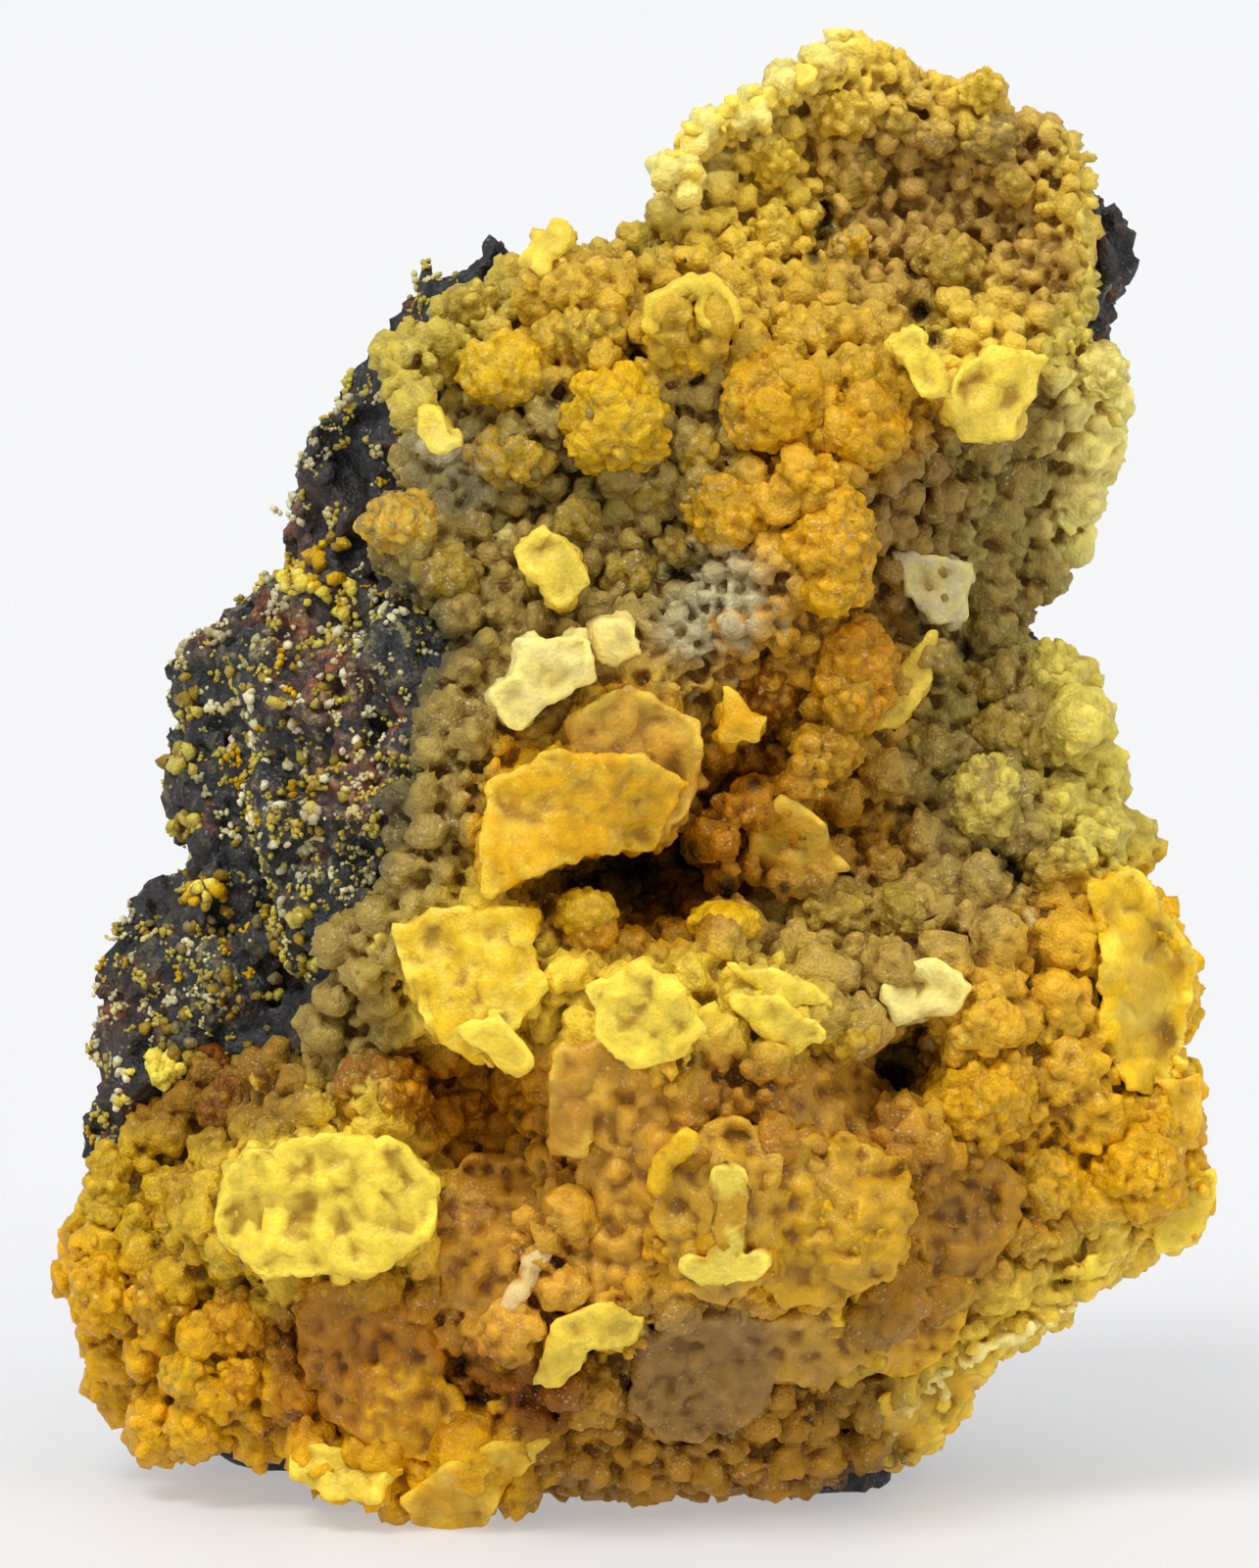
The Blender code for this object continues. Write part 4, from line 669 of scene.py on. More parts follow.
# Broken edges of the crust, in the same way.
crustEdges = {
    "bowlEdgeLeft": ("gold lemon", 0.9, [(684, 196, 0.5), (700, 150, 1.5), (742, 112, 2.5), (798, 100, 3),
        (834, 62, 4)]),
    "bowlEdgeRight": ("olive lime", 0.7, [(1082, 132, 5), (1108, 175, 3), (1112, 250, 1), (1108, 310, 0),
        (1082, 346, -1), (1060, 366, -3)]),
    "bellyEdge": ("gold", 0.9, [(830, 1330, -18), (880, 1352, -15), (940, 1330, -12), (985, 1300, -11)]),
    "apronEdge": ("lemon chalk", 0.7, [(905, 1470, -7), (936, 1420, -8), (1000, 1374, -9), (1060, 1352, -8),
        (1120, 1300, -7)]),
    "leftFin": ("gold", 0.9, [(318, 1120, -14), (322, 1160, -15), (330, 1190, -16)]),
    "leftEdgeStrip": ("olive gold", 0.8, [(128, 1170, -1), (112, 1220, -3), (84, 1290, -3)]),
}

# Gaps and holes of the crust, set deeper and given painted shade in the bed: places (across, down, reach) of the
# front view.
crustHollows = [
    (563, 412, 12), (572, 438, 9), (645, 352, 9), (608, 499, 12), (690, 582, 20), (706, 560, 12),
    (418, 601, 13), (848, 212, 13), (845, 235, 15), (830, 262, 13), (942, 316, 20), (955, 344, 16),
    (735, 616, 10), (640, 885, 45), (700, 872, 26), (560, 925, 20), (596, 902, 20), (742, 905, 16),
    (985, 662, 16), (956, 694, 14), (940, 642, 10), (1030, 880, 18), (1066, 893, 12), (915, 1098, 24),
    (528, 1138, 12), (560, 1165, 12), (303, 1372, 12), (298, 1335, 10), (474, 1392, 15), (482, 1430, 13),
    (596, 1388, 11), (770, 800, 14), (800, 905, 12), (268, 1320, 10), (860, 1305, 10), (690, 1300, 9),
    (1092, 1150, 12),
]

# Shards lying on the crust: what they are made of, how many, smallest and biggest (mm), places.
crustShards = {
    "bowlRim": ("lemon gold", 80, 0.35, 0.95, [(715, 165, 30), (760, 110, 30), (830, 65, 28),
        (690, 190, 24)]),
    "lobeEdge": ("lime lemon", 60, 0.3, 0.8, [(1100, 150, 20), (1112, 250, 16), (1090, 340, 20)]),
    "leftRim": ("olive lemon chalk", 70, 0.3, 0.8, [(410, 350, 22), (425, 420, 25), (450, 480, 28),
        (500, 520, 25)]),
    "worn": ("chalk ash", 70, 0.3, 0.9, [(740, 610, 45), (480, 490, 24), (700, 650, 24), (640, 600, 20)]),
    "greatShell": ("amber gold", 50, 0.5, 1.5, [(600, 830, 70), (640, 740, 45), (530, 850, 40)]),
    "middle": ("amber sand", 80, 0.3, 1.0, [(760, 640, 50), (850, 640, 40), (900, 720, 40), (930, 560, 30)]),
    "underShell": ("umber amber", 70, 0.3, 1.0, [(760, 860, 50), (830, 850, 50), (780, 760, 40)]),
    "stepEdge": ("lime lemon", 40, 0.4, 1.0, [(1100, 700, 25), (1115, 800, 25), (1120, 870, 25)]),
    "band": ("gold lemon", 120, 0.5, 1.7, [(480, 990, 70), (560, 1010, 50), (650, 1040, 60), (740, 1010, 50),
        (800, 1030, 50)]),
    "shelf": ("sand chalk", 50, 0.25, 0.7, [(940, 1010, 50), (1020, 950, 40), (880, 960, 50)]),
    "lip": ("gold amber", 70, 0.6, 1.8, [(1165, 960, 45), (1175, 1050, 42), (1120, 930, 30)]),
    "lipLow": ("gold lemon", 70, 0.4, 1.3, [(1205, 1130, 25), (1210, 1240, 30), (1150, 1255, 30)]),
    "ribs": ("sand gold amber", 70, 0.5, 1.7, [(600, 1120, 45), (640, 1160, 40), (680, 1120, 40)]),
    "leftShell": ("amber gold lemon", 100, 0.4, 1.5, [(330, 1180, 70), (260, 1220, 40), (330, 1280, 70),
        (430, 1230, 30)]),
    "brokenFace": ("sand umber amber", 110, 0.4, 1.6, [(520, 1240, 65), (500, 1330, 50), (580, 1300, 45)]),
    "hook": ("gold amber", 70, 0.4, 1.3, [(600, 1350, 50), (560, 1420, 40), (640, 1320, 40)]),
    "mauve": ("chalk sand", 90, 0.12, 0.32, [(710, 1390, 55), (690, 1440, 45), (790, 1440, 60)]),
    "belly": ("gold amber", 80, 0.4, 1.2, [(700, 1230, 60), (800, 1290, 60), (860, 1340, 50)]),
    "apron": ("gold lemon", 130, 0.4, 1.5, [(1090, 1300, 45), (1020, 1360, 40), (960, 1430, 40),
        (1150, 1262, 30), (930, 1480, 30)]),
    "foot": ("gold amber", 110, 0.5, 1.7, [(360, 1505, 50), (480, 1520, 50), (420, 1480, 40)]),
    "darkBand": ("black black ash", 420, 0.25, 0.7, [(395, 620, 22), (430, 612, 18), (440, 655, 24),
        (404, 695, 22), (392, 760, 20), (398, 820, 20)]),
    "footDark": ("black", 140, 0.4, 1.2, [(862, 1512, 24), (886, 1504, 18)]),
    "corner": ("gold amber", 60, 0.3, 0.9, [(120, 1220, 40), (180, 1330, 60), (230, 1430, 50)]),
}


# shares of each colour in a mix such as "gold amber"
def mixOf(words):
    shares = np.zeros(len(kindNames))
    for word in words.split():
        shares[kindNames.index(word)] += 1
    return shares / shares.sum()


patchPlaces, patchMixes, patchSizes = [], [], []
for words, sizes, places in crustPatches.values():
    for place in places:
        patchPlaces.append(place)
        patchMixes.append(mixOf(words))
        patchSizes.append(sizes or (0, 0))
patchPlaces, patchMixes, patchSizes = np.array(patchPlaces, float), np.array(patchMixes), np.array(patchSizes)


# how many reaches places are from spots, squared: a row for each place, a column for each spot
def spotGaps(spots, across, down):
    return ((across[:, None] - spots[:, 0]) ** 2 + (down[:, None] - spots[:, 1]) ** 2) / spots[:, 2] ** 2


# mix of colours and ball sizes at places of the front view, blended from the patches around them
def patchesAt(across, down):
    gap = spotGaps(patchPlaces, across, down)
    weight = np.exp(-gap) + 1e-6 / (1 + gap)
    weight /= weight.sum(1)[:, None]
    return weight @ patchMixes, weight @ patchSizes


# how near places are to the listed spots: 1 on a spot, fading to 0 over its reach
def nearSpots(spots, across, down):
    return np.exp(-spotGaps(np.array(spots, float), across, down).min(1))


rockSolid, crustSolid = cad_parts["matrix"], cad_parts["mimetite_crust"]


def solidCopy(node, name):
    copy = bpy.data.objects.new(name, node.data.copy())
    bpy.context.scene.collection.objects.link(copy)
    copy.data.transform(node.matrix_world)
    return copy


# what lies nearest on each solid of the frame
rockTree, crustTree = [BVHTree.FromPolygons(pointsOf(node).tolist(), trianglesOf(node).tolist())
                       for node in (rockSolid, crustSolid)]


# depth at which the front view meets the crust
def crustDepth(places):
    found = []
    for across, down in places:
        ray = Vector(seen(across, down, 0) - eye)
        hit = crustTree.ray_cast(Vector(eye), ray.normalized())[0]
        found.append(inView(np.array([hit]))[2][0] if hit else np.nan)
    found = np.array(found)
    return np.where(np.isnan(found), np.nanmean(found), found)


layerMake = {
    "smoothLobes": 0.45,    # how strong the lobes are on smooth flakes, on flakes and on sheets
    "flakeLobes": 0.9,
    "sheetLobes": 2.0,
    "sheetGrid": 18,        # how far apart a sheet's depth is measured, pixels
    "sheetSunk": 0.15,      # how far behind the CAD crust a sheet starts, mm
}

# flakes, then sheets: kind, thickness, outline, table of depths, how lobed
crustLayers = []
for name, (kind, thickness, outline) in crustFlakes.items():
    lobed = layerMake["smoothLobes" if name in smoothFlakes else "flakeLobes"]
    crustLayers.append((kind, thickness, [corner[:2] for corner in outline], np.array(outline, float), lobed))
for kind, thickness, outline in crustSheets.values():
    corners = zip(np.min(outline, 0), np.max(outline, 0))
    lines = [np.arange(low, high, layerMake["sheetGrid"]) for low, high in corners]
    across, down = [grid.ravel() for grid in np.meshgrid(*lines)]
    inner = within(outline, across, down)
    places = outline + list(zip(across[inner], down[inner]))
    table = np.column_stack([places, crustDepth(places) + layerMake["sheetSunk"]])
    crustLayers.append((kind, thickness, outline, table, layerMake["sheetLobes"]))


def farFrom(tree, points):
    found = [tree.find_nearest(Vector(point))[3] for point in points]
    return np.array([reach if reach is not None else 1.0 for reach in found]) / mm


crustMake = {
    "coreGrain": 0.40 * mm,
    "coreInset": 0.55,          # how far the bed lies behind the CAD crust, mm
    "moat": 1.5,                # how much deeper it lies round a head, mm
    "moatReach": 1.6,
    "skinGrain": 0.20 * mm,
    "bedTriangles": 190000,    # of each half
    "bedSplit": (900, 12),      # where the bed's halves meet, and how far they overlap (pixels)
    "headTriangles": 170000,
    "flakeTriangles": 120000,
    "knollSize": (2.4, 4.4),    # how far apart the middles of the knolls are, mm
    "knollLean": 0.30,
    "hollow": 2.4,              # how deep the dark gaps and holes are, mm
    "room": 2.4,                # how far the bed can lie back under a flake, mm
    "valley": 0.8,              # how deep the creases between knolls are, mm
    "ballSpread": 1.55,         # how far apart the balls of the bed are, in their radii
    # turns of balls: smallest and biggest share of their size, how far they stand out, detail
    "turns": ((1.0, 1.4, 0.3, 2), (0.45, 0.8, -0.05, 1)),
    "underFlakes": 0.4,         # share of their size under flakes and sheets
    "lumpFrom": 1.0,            # balls bigger than this grow lobes and knobs, mm
    "lobes": 3,
    "border": (0.35, 1.3),      # strip beside the rock that gets lumps (mm from it)
    "borderSize": (0.45, 0.95),
}

# Fine lobes (size and height, mm), grit (mm) and how crisp the creases are on each skin.
skinDetail = {
    "bed": (0.75, 0.40, 0.05, 1.0),
    "heads": (0.72, 0.42, 0.04, 1.0),
    "flakes": (0.8, 0.13, 0.07, 0.35),
}


# the CAD crust, smoothed and set back: a little everywhere, more round each head and between knolls
def makeCore():
    make = crustMake
    core = solidCopy(crustSolid, "crustCore")
    fuse(core, make["coreGrain"], smoothing=6)
    points, normals = pointsOf(core), normalsOf(core)
    across, down, depth = inView(points)
    dice = np.random.default_rng(2)
    moat = np.zeros(len(points))
    for area, heads in crustHeads.items():
        for kind, a, d, front, halfWidth, halfDepth, halfHeight in heads:
            radii = np.array([halfWidth, halfDepth, halfHeight]) * mm
            reach = np.linalg.norm((points - seen(a, d, front + halfDepth)) / radii, axis=1)
            outside = (reach - 1) * radii.mean() / mm
            if area != "smooth":
                moat = np.maximum(moat, np.clip(1 - np.abs(outside) / make["moatReach"], 0, 1))
    sizes = patchesAt(across, down)[1]
    broken = np.clip(1 - sizes[:, 0] / 0.5, 0, 1)     # where no balls grow the crust is broken in facets
    spacing = dice.uniform(*make["knollSize"], len(points)) * mm * (1 - 0.45 * broken)
    seeds = points[spread(points, spacing, dice)]
    tree = treeOf(seeds)
    found = [tree.find_n(point, 2) for point in points]
    knoll = np.array([pair[0][1] for pair in found])
    apart = np.array([pair[1][2] - pair[0][2] for pair in found]) / mm
    valley = np.exp(-(apart / 0.6) ** 2)
    leans = dice.normal(0, make["knollLean"], (len(seeds), 3))
    levels = dice.normal(0, make["knollLean"], len(seeds))
    facets = ((points - seeds[knoll]) * leans[knoll]).sum(1) / mm + levels[knoll]
    rough = facets + 0.35 * noiseAt(points, 2.4 * mm) + 0.25 * noiseAt(points, 0.9 * mm, 5)
    inset = make["coreInset"] + make["moat"] * moat - broken * (np.clip(rough, -0.9, 0.9) - 0.1)
    inset += (1 - broken) * (make["valley"] * valley - 0.45 * np.clip(levels[knoll], -0.5, 0.5))
    exposed = farFrom(rockTree, points) > 1.0
    hollow = nearSpots(crustHollows, across, down) * (normals @ -ahead > -0.2)
    inset += make["hollow"] * hollow
    # room for the flakes and sheets that lie on it
    for kind, thickness, outline, table, lobed in crustLayers:
        under = np.flatnonzero(within(outline, across, down) & (normals @ -ahead > 0))
        if len(under):
            margin = np.clip(rimDistance(outline, across[under], down[under]) / 9, 0, 1)
            need = layerDepth(table, across[under], down[under]) + 0.6 * thickness + 0.9 - depth[under]
            inset[under] = np.maximum(inset[under], np.clip(need, 0, make["room"]) * margin)
    setPoints(core, points - normals * (np.where(exposed, inset, 0.1) * mm)[:, None])
    return core, dice.uniform(0, 1, len(seeds))[knoll], valley, hollow


# gives a skin the mix and tone of the ball nearest to each point, blended with its patch
def colourCrust(piece, clay, patchShare, seed):
    points = pointsOf(piece)
    across, down, depth = inView(points)
    mixes = patchesAt(across, down)[0]
    dice = np.random.default_rng(seed)
    centres = np.array(clay.centres)
    tones = dice.uniform(-1, 1, len(centres))
    own = np.array([mixOf(kind) if kind else np.full(len(kindNames), np.nan) for kind in clay.kinds])
    tree = treeOf(centres)
    found = [tree.find(point) for point in points]
    nearest, gap = np.array([hit[1] for hit in found]), np.array([hit[2] for hit in found])
    ownMix = own[nearest]
    noOwn = np.isnan(ownMix[:, 0]) | (gap > 1.35 * np.array(clay.reaches)[nearest])
    mixes = np.where(noOwn[:, None], mixes, patchShare * mixes + (1 - patchShare) * np.nan_to_num(ownMix))
    for i, name in enumerate(kindNames):
        setShare(piece, name + "Share", mixes[:, i])
    setShare(piece, "tone", tones[nearest])


# sets points, kept inside the CAD model's box
def setInside(piece, points):
    setPoints(piece, np.clip(points, cadBox[0], cadBox[1]))


# fine lobes (size and height in mm) and grit on a finished skin
def roughen(piece, size, height, grit):
    points, normals = pointsOf(piece), normalsOf(piece)
    near = np.minimum([noise.voronoi(Vector(point / (size * mm)))[0][0] for point in points], 0.7)
    rise = height * (0.25 - near ** 2) + grit * noiseAt(points, 0.45 * mm, 17)
    setInside(piece, points + normals * (rise * mm)[:, None])


# the relief of a skin of the crust, with its creases deepened and marked for the finish's painted shade and
# highlights
def detailSkin(piece, kind):
    size, height, grit, crisp = skinDetail[kind]
    roughen(piece, size, height, grit)
    points, normals, stands = pointsOf(piece), normalsOf(piece), standOut(piece, 4)
    setInside(piece, points + normals * (np.clip(stands, -0.35, 0.25) * crisp * mm)[:, None])
    setShare(piece, "crease", standOut(piece, 6))
    setShare(piece, "swell", standOut(piece, 30))


def thin(piece, triangles):
    piece.modifiers.new("triangles", "TRIANGULATE")
    before = 2 * len(piece.data.polygons)
    if before > triangles:
        piece.modifiers.new("thin", "DECIMATE").ratio = triangles / before
    applyModifiers(piece)
    setInside(piece, pointsOf(piece))


# the part of a piece of four-cornered faces whose points are taken
def partOf(piece, name, taken):
    corners = np.empty(len(piece.data.loops), np.int32)
    piece.data.loops.foreach_get("vertex_index", corners)
    faces = corners.reshape(-1, 4)
    faces = faces[taken[faces].all(1)]
    used, tidy = np.unique(faces, return_inverse=True)
    return meshPiece(name, pointsOf(piece)[used], tidy.reshape(-1, 4))


# the bed of the crust: border lumps, shards and two turns of balls, fused and cut in two
def makeBed(core, knoll, valley, hollow):
    make = crustMake
    clay = Clay()
    dice = np.random.default_rng(3)
    points, normals = pointsOf(core), normalsOf(core)
    clay.add(points, trianglesOf(core))
    reach = farFrom(rockTree, points)
    nearest, farthest = make["border"]
    exposed = reach > farthest
    across, down, depth = inView(points)
    facing = normals @ -ahead
    # a lumpy border where the crust ends on the rock
    border = np.flatnonzero((reach > nearest) & (reach < farthest))
    size = dice.uniform(*make["borderSize"], len(border)) * mm
    chosen = spread(points[border], size, dice)
    border, size = border[chosen], size[chosen]
    clay.chips(points[border], size * 1.2, normals[border], dice, flat=0.85, lean=0.8, detail=2)
    for kind, count, smallest, biggest, places in crustShards.values():
        chance = nearSpots(places, across, down) * exposed * (facing > 0.1)
        count = min(count, int((chance > 0.01).sum()))
        if count:
            picked = dice.choice(len(points), count, replace=False, p=chance / chance.sum())
            sizes = mixedSizes(smallest, biggest, (1.0, 2.2), count, dice)
            middle = points[picked] + normals[picked] * (make["coreInset"] * mm * 0.6)
            clay.chips(middle, sizes, normals[picked], dice, kind, flat=0.38, lean=0.55)
    exposed &= (facing > -0.75) & (hollow < 0.45)
    points, normals, knoll, valley = points[exposed], normals[exposed], knoll[exposed], valley[exposed]
    sizes = patchesAt(across[exposed], down[exposed])[1]
    for kind, thickness, outline, table, lobed in crustLayers:
        sizes[within(outline, across[exposed], down[exposed])] *= make["underFlakes"]
    # first the big balls, then small ones that fill the gaps and sit lower
    for low, high, lift, detail in make["turns"]:
        grade = 0.55 * knoll + 0.45 * dice.beta(1.2, 2.0, len(points))
        size = (sizes[:, 0] + (sizes[:, 1] - sizes[:, 0]) * grade) * dice.uniform(low, high, len(points)) * mm
        size *= 1 - 0.3 * valley
        grown = size > 0.22 * mm
        spots, ways, size = points[grown], normals[grown], size[grown]
        chosen = spread(spots, make["ballSpread"] * size, dice)
        spots, ways, size = spots[chosen], ways[chosen], size[chosen]
        radii = size[:, None] * (1 + dice.uniform(-0.2, 0.2, (len(size), 3)))
        sunk = np.clip(size / mm - 1.0, 0, 1.5) * 0.3     # big lumps sit deeper
        places = spots + ways * (size * (lift - sunk + dice.uniform(-0.15, 0.15, len(size))))[:, None]
        clay.balls(places, radii, detail=detail)
        big = size > make["lumpFrom"] * mm
        # bigger ones are lumps: lobes lean out of them, and knobs cover it all
        for lobe in range(1 + make["lobes"]):
            aside = sideways(ways[big], dice)
            grow = dice.uniform(0.42, 0.78, len(aside)) if lobe else np.ones(len(aside))
            middle = places[big] + aside * (size[big] * (0.62 if lobe else 0))[:, None]
            lobeRadii = radii[big] * grow[:, None]
            if lobe:
                clay.balls(middle, lobeRadii)
            clay.knobs(middle, lobeRadii, ways[big], 0.36, 0.13, 22, dice)
        print("bed:", len(spots), "balls,", int(big.sum()), "of them knobbly")
    whole = fuse(clay.piece("crustSkin"), make["skinGrain"])
    down = inView(pointsOf(whole))[1]
    split, overlap = make["bedSplit"]
    pieces = []
    for name, taken in (("mimetiteUpperBed", down < split + overlap),
                        ("mimetiteLowerBed", down > split - overlap)):
        piece = partOf(whole, name, taken)
        thin(piece, make["bedTriangles"])
        detailSkin(piece, "bed")
        colourCrust(piece, clay, 0.35, 11)
        across, down, depth = inView(pointsOf(piece))
        facing = normalsOf(piece) @ -ahead
        # painted shade over the gaps and holes
        setShare(piece, "shade", nearSpots(crustHollows, across, down) * (facing > -0.3))
        pieces.append(piece)
        print(name, "done")
    bpy.data.objects.remove(whole)
    return pieces


def makeHeads():
    clay = Clay()
    dice = np.random.default_rng(5)
    for area, heads in crustHeads.items():
        for kind, across, down, front, halfWidth, halfDepth, halfHeight in heads:
            centre = seen(across, down, front + halfDepth)
            radii = np.array([halfWidth, halfDepth, halfHeight]) * mm
            if area == "smooth":
                clay.balls([centre], np.array([radii]), kind, detail=3)
                continue
            clay.balls([centre], np.array([radii * 0.82]), kind, detail=3)
            # lobes over the head, then knobs over the lobes
            count = int(6 + 5 * radii.mean() / mm)
            i = np.arange(count) + 0.5
            forward = 1 - 1.5 * i / count
            ring, turn = np.sqrt(1 - forward ** 2), i * goldenTurn + across
            ways = np.stack([ring * np.cos(turn), -forward, ring * np.sin(turn)], 1)
            ways = unit(ways + dice.normal(0, 0.16, (count, 3)))
            sizes = radii.min() * dice.uniform(0.30, 0.52, count)
            lobes = centre + ways * (radii * dice.uniform(0.92, 1.06, (count, 1)) - sizes[:, None])
            lobeRadii = sizes[:, None] * (1 + dice.uniform(-0.15, 0.15, (count, 3)))
            clay.balls(lobes, lobeRadii, kind)
            clay.knobs(lobes, lobeRadii, ways, 0.40, 0.08, 30, dice, kind)
    print("heads:", len(clay.centres), "balls")
    piece = fuse(clay.piece("mimetiteHeads"), crustMake["skinGrain"], smoothing=0)
    thin(piece, crustMake["headTriangles"])
    detailSkin(piece, "heads")
    colourCrust(piece, clay, 0.2, 12)
    return piece


def makeFlakes():
    clay = Clay()
    dice = np.random.default_rng(8)
    for layer in crustLayers:
        clay.flake(*layer, dice)
    for kind, radius, line in crustFingers.values():
        clay.finger(kind, radius * 0.85, line, dice)
    for kind, radius, line in crustEdges.values():
        clay.edge(kind, radius * 0.9, line, dice)
    piece = fuse(clay.piece("mimetiteFlakes"), crustMake["skinGrain"])
    thin(piece, crustMake["flakeTriangles"])
    detailSkin(piece, "flakes")
    colourCrust(piece, clay, 0.25, 13)
    return piece


rockMake = {
    "coreGrain": 0.55 * mm,
    "skinGrain": 0.24 * mm,
    "triangles": 170000,
    "ledgeSize": (3.5, 8.0),    # how far apart the middles of the broken faces are, mm
    "ledgeLean": 0.26,
    "ledgeStep": 0.6,           # how unevenly deep they lie, mm
    "pitDepth": 4.5,            # of the strongest pits, mm
    "inset": 0.9,               # how far the core lies behind the CAD rock, mm
    # dark grains: smallest and biggest radius (mm), how far apart and how deep they sit, in radii
    "grains": ((1.0, 2.8, 1.4, 0.5), (0.45, 1.1, 1.15, 0.05), (0.26, 0.5, 1.05, -0.15)),
    "detail": (0.9, 0.6, 0.15),    # fine lobes (size and height) and grit, mm
}

# Spots of the dark face: places (across, down, reach) of the front view.
rockSpots = {
    "rust": [(330, 700, 35), (360, 800, 40), (275, 530, 35), (300, 640, 25), (205, 640, 20), (110, 1030, 20),
        (330, 250, 30)],
    "dust": [(300, 800, 80), (350, 700, 60), (280, 650, 60), (210, 1000, 50), (330, 880, 50), (420, 640, 40),
        (410, 780, 30)],
}

# Mimetite grown on the dark face: what it is made of, how many balls, smallest and biggest (mm), places.
rockGrowths = {
    "lemonRidge": ("lemon gold", 60, 0.3, 0.75, [(320, 600, 20), (348, 615, 18), (300, 590, 14)]),
    "upperBalls": ("olive gold", 16, 0.5, 0.9, [(350, 552, 14), (325, 570, 14)]),
    "leftEdge": ("olive lime", 60, 0.3, 0.8, [(190, 720, 14), (188, 780, 14), (192, 840, 14),
        (204, 690, 12)]),
    "ridgeSide": ("olive lime chalk", 180, 0.22, 0.6, [(370, 640, 36), (300, 700, 50), (330, 780, 50),
        (290, 850, 45)]),
    "hollow": ("olive ash olive", 80, 0.3, 0.7, [(200, 940, 45), (240, 1020, 45), (180, 1060, 35),
        (270, 960, 35)]),
    "hollowFlake": ("lemon gold", 22, 0.35, 0.8, [(205, 912, 12), (230, 918, 12)]),
    "lemonLump": ("lemon", 22, 0.35, 0.8, [(170, 1090, 14)]),
    "creamStrip": ("chalk lemon", 24, 0.3, 0.6, [(130, 1090, 9), (122, 1120, 9)]),
    "amberLumps": ("olive umber", 70, 0.6, 1.1, [(210, 1090, 30), (260, 1110, 35), (290, 1150, 28)]),
    "fin": ("olive lime", 60, 0.35, 0.75, [(312, 930, 9), (316, 980, 9), (320, 1040, 9), (322, 1100, 9),
        (326, 1150, 9)]),
}


def makeRock():
    make = rockMake
    core = solidCopy(rockSolid, "rockCore")
    fuse(core, make["coreGrain"])
    points, normals = pointsOf(core), normalsOf(core)
    toCrust = farFrom(crustTree, points)
    exposed = toCrust > 0.9
    dice = np.random.default_rng(20)
    seeds = points[spread(points, dice.uniform(*make["ledgeSize"], len(points)) * mm, dice)]
    tree = treeOf(seeds)
    cell = np.array([tree.find(point)[1] for point in points])
    leans = dice.normal(0, make["ledgeLean"], (len(seeds), 3))
    levels = dice.normal(0, make["ledgeStep"], len(seeds))
    ledges = ((points - seeds[cell]) * leans[cell]).sum(1) / mm + levels[cell]
    rough = np.clip(ledges, -1.6, 1.2) + 0.8 * noiseAt(points, 5.0 * mm) + 0.7 * noiseAt(points, 1.7 * mm, 7)
    pits = noiseAt(points, 2.6 * mm, 13) + 0.5 * noiseAt(points, 1.1 * mm, 15) - 0.26
    rough = np.minimum(rough - make["inset"] - np.clip(pits, 0, 1) * make["pitDepth"], 0.0)
    rough = rough * np.clip((toCrust - 0.6) / 2.0, 0.3, 1)     # calmer beside the crust
    rough = np.where(exposed & (points[:, 2] > 1.2 * mm), rough, -0.05)     # and flat underneath
    points += normals * (rough * mm)[:, None]
    setPoints(core, points)
    clay = Clay()
    dice = np.random.default_rng(21)
    clay.add(points, trianglesOf(core))
    exposed &= points[:, 2] > 0.9 * mm
    points, normals = points[exposed], normals[exposed]
    gritty = noiseAt(points, 7 * mm, 3)
    for low, high, apart, sunk in make["grains"]:
        keep = dice.uniform(-0.9, 0.9, len(points)) < gritty + 0.45
        spots, ways = points[keep], normals[keep]
        size = mixedSizes(low, high, (1.1, 2.6), len(spots), dice)
        chosen = spread(spots, apart * size, dice)
        spots, ways, size = spots[chosen], ways[chosen], size[chosen]
        clay.chips(spots - ways * size[:, None] * sunk, size, ways, dice, flat=0.8, lean=1.2)
        print("rock:", len(chosen), "grains")
    piece = fuse(clay.piece("ironOxideRock"), make["skinGrain"], smoothing=0)
    thin(piece, make["triangles"])
    roughen(piece, *make["detail"])
    setShare(piece, "crease", standOut(piece, 6))
    across, down, depth = inView(pointsOf(piece))
    front = normalsOf(piece) @ -ahead > -0.3
    for name, spots in rockSpots.items():
        setShare(piece, name, nearSpots(spots, across, down) * front)
    bpy.data.objects.remove(core)
    return piece


speckMake = {
    "clump": (0.25, 0.85, 2.2, 1100),    # clusters: smallest and biggest (mm), how far apart, how many
    "speck": (0.13, 0.34, 1.4, 1300),    # single grains
    "chain": 6,                          # balls in a cluster
    "darkFace": 470,                     # where the dark face ends, pixels across
    # what they are made of, and the share of each
    "kinds": {"lime": 0.30, "olive lime": 0.20, "lime chalk": 0.20, "chalk": 0.12, "gold": 0.04,
              "ash chalk": 0.14},
}


